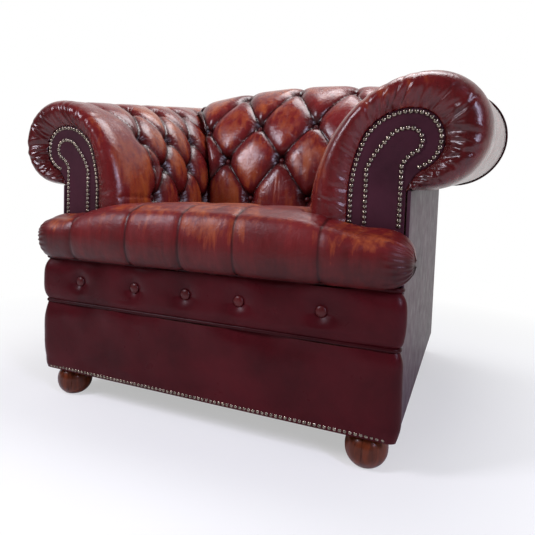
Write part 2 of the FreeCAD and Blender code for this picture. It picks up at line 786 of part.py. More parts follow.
arm_back_end = float(BACK_INSIDE)
for side_name, side in SIDES.items():
    columns = arm_columns()
    plain_front = float(ARM_PAD_START)
    stations = [(plain_front, ()), ((plain_front + columns[0][0]) / 2, ())] + columns
    stations += [((columns[-1][0] + arm_back_end) / 2, ()), (arm_back_end, ())]
    arm_pad = solid(Part.makeLoft([arm_section(side, y, rows) for y, rows in stations], True, True))
    arm_pad = arm_pad.cut(back_zone(float(GAP)))
    pockets = []
    buttons = []
    for y, rows in columns:
        for angle in rows:
            profile = arm_profile(y)
            across, height = profile.point(angle, float(size("tuft_depth")))
            inside_back = y > across + MITRE - float(size("button_diameter"))
            if inside_back and across < BACK_HALF_WIDTH + float(size("button_diameter")):
                continue
            out_across, out_up = profile.normal(angle)
            spot = Vector(side * across, y, height)
            outwards = Vector(side * out_across, 0, out_up)
            pockets.append(button_pocket(spot, outwards, float(size("button_diameter"))))
            buttons.append((spot, outwards))
    arm_pad = solid(arm_pad.cut(Part.makeCompound(pockets)))
    shape_part(f"inside_arm_pad_{side_name}", arm_pad)
    shape_part(f"arm_buttons_{side_name}", group_of(
        tuft_button, [spot for spot, outwards in buttons],
        [facing_direction(outwards) for spot, outwards in buttons]))


# Inside back.

def back_profile(x):
    """The back's profile, with a crest that falls a little towards both corners."""
    drop = float(size("back_corner_drop")) * abs(x / BACK_HALF_WIDTH) ** 2.5
    return Profile(BACK_FACE, BACK_CREST, float(size("back_crest_height")) - drop)


def back_section(x, dip_rows):
    """A closed section of the back's stuffing at one place across it."""
    def place_in_plane(across, height):
        return Vector(x, across, height)
    edges = tufted_edges(back_profile(x), place_in_plane, dip_rows)
    crest = edges[-1].Vertexes[-1].Point
    rear = float(BACK_INSIDE)
    rear_edge = place_in_plane(rear, min(crest.z - 2, float(BACK_EDGE_HEIGHT)))
    between = place_in_plane((crest.y + rear) / 2, (crest.z + rear_edge.z) / 2 + 5)
    corners = [rear_edge, place_in_plane(rear, float(BACK_RAIL_TOP + GAP)),
               place_in_plane(float(BACK_TOP_FRONT), float(BACK_RAIL_TOP + GAP)),
               place_in_plane(float(BACK_TOP_FRONT), float(BACK_TOP_BOTTOM)),
               place_in_plane(float(BACK_FRAME), float(PAD_BOTTOM)),
               place_in_plane(float(BACK_FACE), float(PAD_BOTTOM)), edges[0].Vertexes[0].Point]
    edges.append(arc(crest, between, rear_edge))
    edges += [line(a, b) for a, b in zip(corners, corners[1:])]
    return Part.Wire(edges)


half_pitch = float(size("back_tuft_pitch")) / 2
reach_columns = math.ceil(BACK_HALF_WIDTH / half_pitch) + 1
sections = []
pockets = []
buttons = []
for number in range(-reach_columns, reach_columns + 1):
    x = number * half_pitch
    rows = ODD_ROWS if number % 2 == 0 else EVEN_ROWS
    sections.append(back_section(x, rows))
    for angle in rows:
        across, height = back_profile(x).point(angle, float(size("tuft_depth")))
        clear = float(size("button_diameter"))
        if abs(x) > BACK_HALF_WIDTH - clear or across < abs(x) + MITRE + clear:
            continue
        out_across, out_up = back_profile(x).normal(angle)
        spot = Vector(x, across, height)
        outwards = Vector(0, out_across, out_up)
        pockets.append(button_pocket(spot, outwards, float(size("button_diameter"))))
        buttons.append((spot, outwards))
back_pad = solid(Part.makeLoft(sections, True, True))
back_pad = back_pad.common(back_zone(0.0)).cut(Part.makeCompound(pockets))
shape_part("inside_back_pad", solid(back_pad))
shape_part("back_buttons", group_of(
    tuft_button, [spot for spot, outwards in buttons],
    [facing_direction(outwards) for spot, outwards in buttons]))


# Seat: a crowned pad between the arms and a stuffed roll across the whole front.

PLEATS = [float(size(f"pleat_{number}")) for number in range(1, 6)]
PIPING_HALF = size("piping_diameter") / 2
SEAT_BACK_END = BACK_FACE - GAP
SEAT_ROLL_BOTTOM = SEAT_SEAM + PIPING_HALF + GAP


def seat_top(y):
    """Height of the seat's crown, from the front bulge to the inside back."""
    share = (y - float(FRONT_BULGE)) / float(BACK_FACE - FRONT_BULGE)
    crown = float(size("seat_crown")) * math.sin(math.pi * share)
    return float(SEAT_FRONT_TOP) - float(size("seat_drop")) * share + crown


def seat_section(x, dip_row, edge_drop=0.0):
    """A closed section of the seat pad, with a button dip in one of its two rows."""
    first = float(FACING_FRONT + size("seat_button_setback"))
    stops = [float(FACING_FRONT), first, first + float(size("seat_button_pitch")), float(SEAT_BACK_END)]
    depth = float(size("tuft_depth"))
    insets = [depth if number == dip_row else 0.0 for number in range(len(stops))]
    tops = [Vector(x, y, seat_top(y) - inset - edge_drop) for y, inset in zip(stops, insets)]
    edges = []
    for number, (start, end) in enumerate(zip(tops, tops[1:])):
        middle_y = (start.y + end.y) / 2
        middle_inset = (insets[number] + insets[number + 1]) / 4
        middle = Vector(x, middle_y, seat_top(middle_y) - middle_inset - edge_drop)
        edges.append(arc(start, middle, end))
    bottom = float(PAD_BOTTOM)
    corners = [tops[-1], Vector(x, tops[-1].y, bottom), Vector(x, tops[0].y, bottom), tops[0]]
    edges += [line(a, b) for a, b in zip(corners, corners[1:])]
    return Part.Wire(edges)


seat_edge = float(HALF_SEAT_GAP - GAP)
inner_pleats = [x for x in PLEATS if abs(x) < seat_edge - float(size("button_diameter"))]
edge_drop = float(size("seat_edge_drop"))
seat_stations = [(-seat_edge, None, edge_drop), ((-seat_edge + inner_pleats[0]) / 2, None, 0.0)]
seat_buttons = []
for number, x in enumerate(inner_pleats):
    seat_stations.append((x, 1, 0.0))
    seat_buttons.append((x, 0))
    if number + 1 < len(inner_pleats):
        seat_stations.append(((x + inner_pleats[number + 1]) / 2, 2, 0.0))
        seat_buttons.append(((x + inner_pleats[number + 1]) / 2, 1))
seat_stations += [((seat_edge + inner_pleats[-1]) / 2, None, 0.0), (seat_edge, None, edge_drop)]
seat_pad = solid(Part.makeLoft([seat_section(*station) for station in seat_stations], True, True))
button_spots = []
for x, row in seat_buttons:
    y = float(FACING_FRONT + size("seat_button_setback")) + row * float(size("seat_button_pitch"))
    button_spots.append(Vector(x, y, seat_top(y) - float(size("tuft_depth"))))
seat_pockets = [button_pocket(spot, Vector(0, 0, 1), float(size("button_diameter"))) for spot in button_spots]
shape_part("seat_pad", solid(seat_pad.cut(Part.makeCompound(seat_pockets))))
shape_part("seat_buttons", group_of(tuft_button, button_spots))


def seat_roll_section(x, inset, end_share=0.0):
    """A closed section of the front roll; end_share closes it in towards its rounded ends."""
    low = float(SEAT_ROLL_BOTTOM)
    rear = float(FACING_FRONT - size("tongue_thickness") - GAP)
    shoulder_drop = float(size("seat_shoulder_drop"))
    front = float(BORDER_FRONT) + shoulder_drop
    rear_top = seat_top(rear) - inset
    shoulder = float(SEAT_FRONT_TOP) - shoulder_drop - inset
    middle = (low + shoulder) / 2
    bulge = float(FRONT_BULGE) + inset

    def closed_in(y, z):
        return Vector(x, rear + (y - rear) * (1 - end_share * 0.55), middle + (z - middle) * (1 - end_share))
    bottom_rear = closed_in(rear, low)
    bottom_front = closed_in(front, low)
    top_front = closed_in(front, shoulder)
    top_rear = closed_in(rear, rear_top)
    top_middle = closed_in((front + rear) / 2, (shoulder + rear_top + shoulder_drop) / 2)
    return Part.Wire([
        line(bottom_rear, bottom_front), arc(bottom_front, closed_in(bulge, middle), top_front),
        arc(top_front, top_middle, top_rear), line(top_rear, bottom_rear)])


seat_half = float(HALF_SEAT)
pleat_inset = float(size("pleat_depth"))
roll_stations = [(-seat_half, 0.0, 0.55), (-seat_half + 5, 0.0, 0.25), (-seat_half + 16, 0.0, 0.06)]
for number, x in enumerate(PLEATS):
    before = PLEATS[number - 1] if number else -seat_half + 20
    roll_stations += [((x + before) / 2, 0.0, 0.0), (x, pleat_inset, 0.0)]
roll_stations += [((PLEATS[-1] + seat_half - 20) / 2, 0.0, 0.0), (seat_half - 16, 0.0, 0.06),
                  (seat_half - 5, 0.0, 0.25), (seat_half, 0.0, 0.55)]
shape_part("seat_front_roll", solid(
    Part.makeLoft([seat_roll_section(*station) for station in roll_stations], True, True)))


# Front borders with their piping, buttons and base nails.

def border_outline():
    """Plan of a border across the front, with rounded corners, in front of the base rail."""
    radius = size("border_corner_radius")
    return [(-HALF_BASE, BORDER_BACK, None), (-HALF_BASE, BORDER_FRONT + radius, None),
            (-HALF_BASE + radius, BORDER_FRONT, radius), (HALF_BASE - radius, BORDER_FRONT, None),
            (HALF_BASE, BORDER_FRONT + radius, radius), (HALF_BASE, BORDER_BACK, None)]


LOWER_BORDER_TOP = BORDER_SEAM - PIPING_HALF - GAP
UPPER_BORDER_BOTTOM = BORDER_SEAM + PIPING_HALF + GAP
UPPER_BORDER_TOP = SEAT_SEAM - PIPING_HALF - GAP
lower_border = padded_body("lower_border", "XY_Plane", border_outline(), LOWER_BORDER_TOP - BASE_BOTTOM)
place(lower_border, (0, 0, BASE_BOTTOM))
keep(lower_border, "lower_border")

upper_blank = padded_body("upper_border_blank", "XY_Plane", border_outline(), UPPER_BORDER_TOP - UPPER_BORDER_BOTTOM)
place(upper_blank, (0, 0, UPPER_BORDER_BOTTOM))
BUTTON_HEIGHT = (UPPER_BORDER_BOTTOM + UPPER_BORDER_TOP) / 2
DIMPLE = size("border_dimple_depth")
DIMPLE_RADIUS = size("border_button_diameter") * 3.6
dimples = []
for number in range(1, 6):
    hollow = doc.addObject("Part::Sphere", f"border_dimple_{number}")
    bind(hollow, Radius=DIMPLE_RADIUS)
    place(hollow, (size(f"pleat_{number}"), BORDER_FRONT + DIMPLE - DIMPLE_RADIUS, BUTTON_HEIGHT))
    seat = doc.addObject("Part::Cylinder", f"border_button_seat_{number}")
    bind(seat, Radius=size("border_button_diameter") / 2 + GAP, Height=DIMPLE + BOARD)
    seat.Placement = Placement(Vector(), Rotation(Vector(1, 0, 0), 90))
    place(seat, (size(f"pleat_{number}"), BORDER_FRONT + DIMPLE, BUTTON_HEIGHT))
    dimples += [hollow, seat]
keep(cut("upper_border", upper_blank, dimples), "upper_border")
border_spots = [vec(x, BORDER_FRONT + DIMPLE, BUTTON_HEIGHT) for x in PLEATS]
forwards = facing_direction(Vector(0, -1, 0))
shape_part("border_buttons", group_of(border_button, border_spots, [forwards] * len(border_spots)))


def border_piping(label, height):
    """A round piping across the front that turns both corners."""
    radius = float(size("border_corner_radius"))
    centre_y = float(BORDER_FRONT) + 1
    side_x = float(HALF_BASE) - 1
    bend = radius * (1 - math.sqrt(0.5))
    start = vec(-side_x, BORDER_BACK, height)
    turn_one = [vec(-side_x, centre_y + radius, height), vec(-side_x + bend, centre_y + bend, height),
                vec(-side_x + radius, centre_y, height)]
    turn_two = [vec(side_x - radius, centre_y, height), vec(side_x - bend, centre_y + bend, height),
                vec(side_x, centre_y + radius, height)]
    end = vec(side_x, BORDER_BACK, height)
    path = Part.Wire([line(start, turn_one[0]), arc(*turn_one), line(turn_one[2], turn_two[0]),
                      arc(*turn_two), line(turn_two[2], end)])
    ring = Part.Wire(Part.makeCircle(float(PIPING_HALF), start, Vector(0, 1, 0)))
    shape_part(label, solid(path.makePipeShell([ring], True, True)))


border_piping("border_piping", BORDER_SEAM)
border_piping("seat_piping", SEAT_SEAM)

nail_radius = float(size("nail_head_diameter")) / 2
nail_rim = float(size("nail_rim"))
nail_head = domed_disc(nail_radius, nail_rim, float(size("nail_head_height")) - nail_rim)
nail_pitch = float(size("nail_pitch"))
nail_row_half = float(HALF_BASE - size("border_corner_radius")) - nail_radius
nail_count = int(2 * nail_row_half // nail_pitch) + 1
base_nail_spots = [vec((number - (nail_count - 1) / 2) * nail_pitch, BORDER_FRONT,
                       BASE_BOTTOM + size("nail_edge_margin")) for number in range(nail_count)]
shape_part("base_nails", group_of(nail_head, base_nail_spots, [forwards] * nail_count))


# Arm fronts: a scroll board, its covered facing with a raised tongue, nails and a gathered band.

FACING_BOTTOM = RAIL_TOP
FACING_OUTER = HALF_BASE - size("facing_side_margin")
FACING_INNER = FACING_OUTER - size("facing_width")
HEAD_RADIUS = size("facing_head_radius")
HEAD_X = FRONT_ROLL_X - size("facing_head_offset")
HEAD_Z = size("front_roll_height") - size("facing_head_drop")


def scroll_outline(inner, outer, head_x, head_z, radius):
    """A cane-shaped outline on the right side: a leg below and a round head leaning outwards."""
    neck = math.radians(-70)
    return [(inner, FACING_BOTTOM, None), (outer, FACING_BOTTOM, None),
            (outer, head_z - radius * 1.6, None),
            (head_x + radius * round(math.cos(neck), 4), head_z + radius * round(math.sin(neck), 4),
             -radius * 1.5),
            (head_x + radius, head_z, radius), (head_x, head_z + radius, radius),
            (head_x - radius * 1.52, head_z + radius * 0.18, radius * 1.7),
            (inner, head_z - radius * 1.75, radius * 5)]


def mirrored_outline(outline):
    """The same outline on the left side, still counter-clockwise."""
    count = len(outline)
    return [(-1 * outline[index][0], outline[index][1], outline[(index + 1) % count][2])
            for index in reversed(range(count))]


FACING_THICKNESS = size("facing_thickness")
TONGUE_THICKNESS = size("tongue_thickness")
TONGUE_MARGIN = size("tongue_outer_margin")
BOARD_FRONT = FACING_FRONT + FACING_THICKNESS
facing_outline = scroll_outline(FACING_INNER, FACING_OUTER, HEAD_X, HEAD_Z, HEAD_RADIUS)
tongue_outline = scroll_outline(
    FACING_INNER + size("tongue_inset"), FACING_OUTER - TONGUE_MARGIN, HEAD_X - TONGUE_MARGIN,
    HEAD_Z - TONGUE_MARGIN / 2, size("tongue_head_radius"))


def scroll_board(label, side, outline, front, thickness):
    if side < 0:
        outline = mirrored_outline(outline)
    board = padded_body(label, "XZ_Plane", outline, thickness, backwards=True)
    place(board, (0, front, 0))
    doc.recompute()
    return keep(board, label)


def edge_wire(board, y, offset):
    """The outline of a scroll board's face, moved in or out, in the plane at y."""
    face = min(board.Shape.Faces, key=lambda item: item.CenterOfMass.y)
    moved = face.makeOffset2D(offset) if offset else face
    wire = moved.Wires[0].copy()
    wire.translate(Vector(0, y - face.CenterOfMass.y, 0))
    return wire


def nails_along(wire, keep_spot, y):
    """Nail heads at an even pitch round an outline, where a test says they are wanted."""
    count = int(wire.Length // nail_pitch)
    spots = wire.discretize(Number=count + 1)[:-1]
    return [Vector(spot.x, y, spot.z) for spot in spots if keep_spot(spot)]


def gathered_section(side, y, inset):
    """The whole outline of the arm's front, drawn in by an inset."""
    centre_x, centre_z, radius = arm_roll(ARM_PAD_START)
    radius -= inset

    def place_in_plane(across, height):
        return Vector(side * across, y, height)
    profile = arm_profile(ARM_PAD_START, inset)
    edges = tufted_edges(profile, place_in_plane, ())
    lean = math.radians(45)
    crest = place_in_plane(centre_x, centre_z + radius)
    outer = place_in_plane(centre_x + radius, centre_z)
    under = place_in_plane(centre_x, centre_z - radius)
    over_middle = place_in_plane(centre_x + radius * math.sin(lean), centre_z + radius * math.cos(lean))
    under_middle = place_in_plane(centre_x + radius * math.sin(lean), centre_z - radius * math.cos(lean))
    middle_x = float(FACING_INNER + FACING_OUTER) / 2
    corners = [under, place_in_plane(middle_x, centre_z - radius), place_in_plane(middle_x, float(PAD_BOTTOM)),
               place_in_plane(float(HALF_SEAT_GAP) + inset, float(PAD_BOTTOM)), edges[0].Vertexes[0].Point]
    edges += [arc(crest, over_middle, outer), arc(outer, under_middle, under)]
    edges += [line(a, b) for a, b in zip(corners, corners[1:])]
    return Part.Wire(edges)


facing_y = float(FACING_FRONT)
nail_floor = seat_top(facing_y) + 6
tongue_y = facing_y - float(TONGUE_THICKNESS)
facing_nail_spots = []
for side_name, side in SIDES.items():
    facing = scroll_board(f"arm_facing_{side_name}", side, facing_outline, FACING_FRONT, FACING_THICKNESS)
    tongue = scroll_board(f"facing_tongue_{side_name}", side, tongue_outline,
                          FACING_FRONT - TONGUE_THICKNESS, TONGUE_THICKNESS)
    scroll_board(f"arm_front_board_{side_name}", side, facing_outline, BOARD_FRONT,
                 ARM_PAD_START - BOARD_FRONT)

    margin = float(size("nail_edge_margin"))
    tongue_right = float(FACING_OUTER) - float(size("tongue_inset")) * 0.6
    neck_height = float(HEAD_Z) - float(HEAD_RADIUS) * 0.9

    def on_outer_row(spot):
        beside_tongue = abs(spot.x) > tongue_right and spot.z < neck_height
        return spot.z > nail_floor and not beside_tongue

    outer_row = nails_along(edge_wire(facing, facing_y, -margin), on_outer_row, facing_y)
    tongue_row = nails_along(edge_wire(tongue, tongue_y, -margin * 0.8), lambda spot: spot.z > nail_floor, tongue_y)
    facing_nail_spots += outer_row + tongue_row

    proud = float(size("gathered_proud"))
    steps = [(-proud, 26.0), (-proud * 0.6, 10.0), (proud * 0.25, 2.0), (float(size("gathered_depth")), 0.0)]
    band = solid(Part.makeLoft(
        [gathered_section(side, facing_y + step, inset) for step, inset in steps], True, True))
    hole = Part.Face(edge_wire(facing, facing_y - 2 * proud, float(GAP)))
    hole = hole.extrude(Vector(0, 2 * proud + float(size("gathered_depth")), 0))
    over_seat = Part.makeBox(
        2 * seat_half, 2 * proud, nail_floor, Vector(-seat_half, facing_y - 2 * proud, 0))
    shape_part(f"gathered_arm_front_{side_name}", solid(band.cut(hole).cut(over_seat)))
shape_part("facing_nails", group_of(nail_head, facing_nail_spots, [forwards] * len(facing_nail_spots)))


# Outside covers, webbing and the cloth underneath.

side_outline = [
    (BORDER_BACK, BASE_BOTTOM, None), (BACK_INSIDE, BASE_BOTTOM, None),
    (BACK_INSIDE, FRONT_UNDERSIDE + SLOPE_RISE * ((BACK_INSIDE - FACING_FRONT) / size("carcass_depth")), None),
    (FACING_FRONT, FRONT_UNDERSIDE, None), (FACING_FRONT, SEAT_SEAM, None), (BORDER_BACK, SEAT_SEAM, None)]
for side_name, side in SIDES.items():
    panel = padded_body(f"outside_arm_{side_name}", "YZ_Plane", side_outline, PANEL)
    place(panel, (mirrored(side, (SIDE_INSIDE, HALF_BASE)), 0, 0))
    keep(panel, f"outside_arm_{side_name}")

LOBE_X = BACK_ROLL_X
LOBE_Z = size("back_roll_height")
LOBE_RADIUS = size("back_roll_radius")
back_outline = [
    (-HALF_BASE, BASE_BOTTOM, None), (HALF_BASE, BASE_BOTTOM, None), (HALF_BASE, LOBE_Z - LOBE_RADIUS, None),
    (LOBE_X, LOBE_Z - LOBE_RADIUS, None), (LOBE_X + LOBE_RADIUS, LOBE_Z, LOBE_RADIUS),
    (LOBE_X, LOBE_Z + LOBE_RADIUS, LOBE_RADIUS), (-LOBE_X, LOBE_Z + LOBE_RADIUS, None),
    (-LOBE_X - LOBE_RADIUS, LOBE_Z, LOBE_RADIUS), (-LOBE_X, LOBE_Z - LOBE_RADIUS, LOBE_RADIUS),
    (-HALF_BASE, LOBE_Z - LOBE_RADIUS, None)]
outside_back = padded_body("outside_back", "XZ_Plane", back_outline, PANEL, backwards=True)
place(outside_back, (0, BACK_INSIDE, 0))
keep(outside_back, "outside_back")

piping_radius = float(PIPING_HALF) * 0.75
ring_radius = float(LOBE_RADIUS + GAP) + piping_radius
piping_y = float(BACK_OUTSIDE) - piping_radius


def lobe_point(side, degrees):
    angle = math.radians(degrees)
    return Vector(side * (float(LOBE_X) + ring_radius * math.sin(angle)), piping_y,
                  float(LOBE_Z) - ring_radius * math.cos(angle))


back_path = Part.Wire([
    arc(lobe_point(1, 0), lobe_point(1, 45), lobe_point(1, 90)),
    arc(lobe_point(1, 90), lobe_point(1, 135), lobe_point(1, 180)),
    line(lobe_point(1, 180), lobe_point(-1, 180)),
    arc(lobe_point(-1, 180), lobe_point(-1, 135), lobe_point(-1, 90)),
    arc(lobe_point(-1, 90), lobe_point(-1, 45), lobe_point(-1, 0))])
ring = Part.Wire(Part.makeCircle(piping_radius, lobe_point(1, 0), Vector(1, 0, 0)))
shape_part("back_piping", solid(back_path.makePipeShell([ring], True, True)))

STRAP = size("webbing_width")
STRAP_THICKNESS = size("webbing_thickness")
straps = []
for side in SIDES.values():
    for number in range(3):
        front = float(ARM_PAD_START + size("arm_strap_setback") + number * size("arm_strap_pitch"))
        strap_top = underside_at(front) - float(GAP)
        inner = mirrored(side, (ARM_INNER_FRAME + GAP, ARM_INNER_FRAME + GAP + STRAP_THICKNESS))
        straps.append(Part.makeBox(
            float(STRAP_THICKNESS), float(STRAP), strap_top - float(RAIL_TOP), vec(inner, front, RAIL_TOP)))
shape_part("arm_webbing", Part.makeCompound(straps))

straps = []
foot_line = vec(0, BACK_FRAME + GAP, RAIL_TOP)
top_line = vec(0, BACK_TOP_FRONT + GAP, BACK_TOP_BOTTOM)
through = Vector(0, float(STRAP_THICKNESS), 0)
strap_side = Part.Face(Part.makePolygon([foot_line, top_line, top_line + through, foot_line + through, foot_line]))
for number in (-1, 0, 1):
    strap = strap_side.extrude(Vector(float(STRAP), 0, 0))
    strap.translate(vec(number * size("back_strap_pitch") - STRAP / 2, 0, 0))
    straps.append(strap)
shape_part("back_webbing", Part.makeCompound(straps))

COVER_INSET = size("dust_cover_inset")
COVER_BOTTOM = BASE_BOTTOM - size("dust_cover_thickness") - GAP
cloth = box("dust_cover_cloth", (-SIDE_RAIL_INNER, BORDER_BACK + COVER_INSET, COVER_BOTTOM),
            2 * SIDE_RAIL_INNER, BACK_INSIDE - BORDER_BACK - 2 * COVER_INSET, size("dust_cover_thickness"))
foot_holes = [
    cylinder(f"dust_cover_hole_{number}", (foot_x, foot_y, COVER_BOTTOM - COVER_INSET),
             size("foot_seat_diameter") + COVER_INSET, 2 * COVER_INSET)
    for number, (side, end_name, foot_x, foot_y) in enumerate(foot_places)]
keep(cut("dust_cover", cloth, foot_holes), "dust_cover")


# Every object has to be sound before any file is written.
doc.recompute()
for item in doc.Objects:
    if "Invalid" in item.State or "Error" in item.State:
        raise RuntimeError(f"{item.Label} did not compute: {item.State}")
labels = [item.Label for item in nodes]
if len(set(labels)) != len(labels):
    raise RuntimeError("two sub-parts share a name")
for item in nodes:
    if item.Shape.isNull() or not item.Shape.isValid() or not item.Shape.Solids:
        raise RuntimeError(f"{item.Label} has no sound solid")

os.makedirs("parts", exist_ok=True)
for item in nodes:
    item.Shape.exportStep(f"parts/{item.Label}.step")
print(len(nodes), "sub-parts written")
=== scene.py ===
"""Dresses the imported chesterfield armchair: buttoned leather covers, nailed facings, trim and a pale studio."""
import math

import bmesh
import bpy
import numpy as np
from mathutils import Euler, Matrix, Vector, noise


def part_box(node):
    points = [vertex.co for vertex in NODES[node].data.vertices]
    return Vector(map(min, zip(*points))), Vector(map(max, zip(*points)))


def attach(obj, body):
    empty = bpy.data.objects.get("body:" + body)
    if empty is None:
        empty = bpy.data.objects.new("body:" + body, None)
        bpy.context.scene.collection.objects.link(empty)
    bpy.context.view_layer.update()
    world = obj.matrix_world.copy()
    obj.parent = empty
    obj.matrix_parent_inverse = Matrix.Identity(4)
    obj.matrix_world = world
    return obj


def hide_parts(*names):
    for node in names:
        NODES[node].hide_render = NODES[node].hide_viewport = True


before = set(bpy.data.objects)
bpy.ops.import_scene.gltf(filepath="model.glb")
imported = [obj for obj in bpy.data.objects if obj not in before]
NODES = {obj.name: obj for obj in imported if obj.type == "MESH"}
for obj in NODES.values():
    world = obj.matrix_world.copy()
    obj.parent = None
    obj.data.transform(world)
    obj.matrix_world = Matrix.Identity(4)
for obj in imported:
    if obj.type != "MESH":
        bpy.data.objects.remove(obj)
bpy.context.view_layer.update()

bl_info = {
    "name": "Chesterfield armchair",
    "version": (1, 0, 0),
    "blender": (4, 5, 0),
    "location": "View3D > Sidebar > Armchair",
    "description": "Builds the covers, trim and finishes of a buttoned leather armchair over its frame",
    "category": "Object",
}

QUARTER = math.pi / 2
SIDES = ((1, "right"), (-1, "left"))


# Sizes and finishes that a user would change.

def length(name, description, default):
    return bpy.props.FloatProperty(name=name, description=description, default=default, min=0.0,
                                   subtype="DISTANCE", unit="LENGTH")


def colour(name, description, default):
    return bpy.props.FloatVectorProperty(name=name, description=description, default=default, size=3,
                                         min=0.0, max=1.0, subtype="COLOR")


class ArmchairSizes(bpy.types.PropertyGroup):
    pleat_depth: length("Pleat depth", "How far the folds between buttons lie below the puffs", 0.021)
    pleat_reach: length("Puff reach", "How far a puff's roundness reaches from its fold", 0.046)
    button_pull: length("Button pull", "How much deeper than its folds a button is pulled in", 0.012)
    button_radius: length("Button radius", "Half the width of a cover button", 0.0075)
    border_button_radius: length("Border button radius", "Half the width of a border button", 0.0105)
    nail_radius: length("Nail radius", "Half the width of an upholstery nail's head", 0.0044)
    nail_rise: length("Nail height", "Height of an upholstery nail's head", 0.003)
    leather: length("Leather", "Thickness of the covers", 0.0014)
    seam_bevel: length("Edge softness", "Rounding of the flat covers' edges", 0.0022)


class ArmchairFinish(bpy.types.PropertyGroup):
    # Painted shade: this dark colour is laid into the folds and along their creases, where shade falls.
    fold_shade: colour("Recess", "Leather in the folds", (0.0130, 0.0010, 0.0018))
    red: colour("Oxblood", "Leather on the puffs", (0.125, 0.0085, 0.0090))
    rubbed: colour("Rubbed", "Leather worn by use", (0.360, 0.085, 0.0180))
    border: colour("Border", "Leather of the front borders", (0.050, 0.0040, 0.0062))
    plum: colour("Plum", "Leather of the flat facings", (0.044, 0.0100, 0.0175))
    # Painted reflection: the outside covers' violet-grey stands in for a bluish window sheen on the oxblood
    # leather.
    outside: colour("Outside", "Leather of the flat outside covers", (0.050, 0.0180, 0.0280))
    brass: colour("Nail brass", "Antiqued heads of the nails", (0.38, 0.32, 0.24))
    foot: colour("Foot wood", "Stained wood of the feet", (0.110, 0.0200, 0.0050))


def sizes():
    return bpy.context.scene.armchair_sizes


def finish():
    return bpy.context.scene.armchair_finish


# Node materials.

def times(tint, share):
    """A colour made darker or lighter."""
    return tuple(min(1.0, share * c) for c in tint)


class Graph:
    """A node tree under construction, with short ways to add and join its nodes."""

    def __init__(self, tree):
        self.tree = tree
        self.place = self.add("TexCoord").outputs["Object"]

    def add(self, kind, sockets=None, **settings):
        node = self.tree.nodes.new("ShaderNode" + kind)
        for name, value in settings.items():
            setattr(node, name, value)
        return self.feed(node, sockets or {})

    def feed(self, node, sockets):
        """Gives a node's sockets, by name or number, a link, a colour, a vector or a number."""
        for key, value in sockets.items():
            if isinstance(value, bpy.types.NodeSocket):
                self.tree.links.new(value, node.inputs[key])
            elif value is not None:
                socket = node.inputs[key]
                socket.default_value = (*value, 1.0) if socket.type == "RGBA" else value
        return node

    def stretched(self, scale):
        return self.add("Mapping", {"Scale": scale, "Vector": self.place}).outputs["Vector"]

    def noise(self, scale, detail=4.0, roughness=0.55, distortion=0.0, vector=None):
        return self.add("TexNoise", {"Scale": scale, "Detail": detail, "Roughness": roughness,
                                     "Distortion": distortion, "Vector": vector or self.place}).outputs["Fac"]

    def math(self, operation, first, second=None, clamp=False):
        return self.add("Math", {0: first, 1: second}, operation=operation, use_clamp=clamp).outputs[0]

    def added(self, value, wave, share):
        """A value with a noise that swings by half a share to either side."""
        return self.math("ADD", value, self.math("MULTIPLY", self.math("SUBTRACT", wave, 0.5), share))

    def remap(self, value, low, high, to_low, to_high):
        return self.add("MapRange", {"Value": value, "From Min": low, "From Max": high,
                                     "To Min": to_low, "To Max": to_high}).outputs["Result"]

    def ramp(self, value, stops):
        node = self.add("ValToRGB", {"Fac": value})
        band = node.color_ramp
        while len(band.elements) < len(stops):
            band.elements.new(0.5)
        for element, (place, tint) in zip(band.elements, stops):
            element.position = place
            element.color = (*tint, 1.0)
        return node.outputs["Color"]

    def mixed(self, share, first, second):
        """Two colours mixed; a colour mix has them on its sockets 6 and 7, and the result on socket 2."""
        return self.add("Mix", {0: share, 6: first, 7: second}, data_type="RGBA").outputs[2]

    def bump(self, height, distance, strength=1.0, before=None):
        return self.add("Bump", {"Height": height, "Distance": distance, "Strength": strength,
                                 "Normal": before}).outputs["Normal"]


class Finish(Graph):
    """A material under construction."""

    def __init__(self, name):
        self.material = bpy.data.materials.new(name)
        self.material.use_nodes = True
        super().__init__(self.material.node_tree)
        self.shader = self.tree.nodes["Principled BSDF"]

    def shade(self, base, rough, normal=None, **more):
        """Completes the material; more names other sockets, with _ for a space."""
        self.feed(self.shader, {"Base Color": base, "Roughness": rough, "Normal": normal})
        self.feed(self.shader, {key.replace("_", " "): value for key, value in more.items()})
        return self.material


def leather_grain(made, before=None, strength=1.0):
    """Pores and small creases of full-grain leather, as a normal."""
    cells = made.add("TexVoronoi", {"Scale": 430.0, "Vector": made.place}, feature="DISTANCE_TO_EDGE")
    pores = made.bump(cells.outputs["Distance"], 0.00022, 0.45 * strength, before)
    return made.bump(made.noise(95.0, 6.0, 0.62, 0.6), 0.0007, 0.38 * strength, pores)


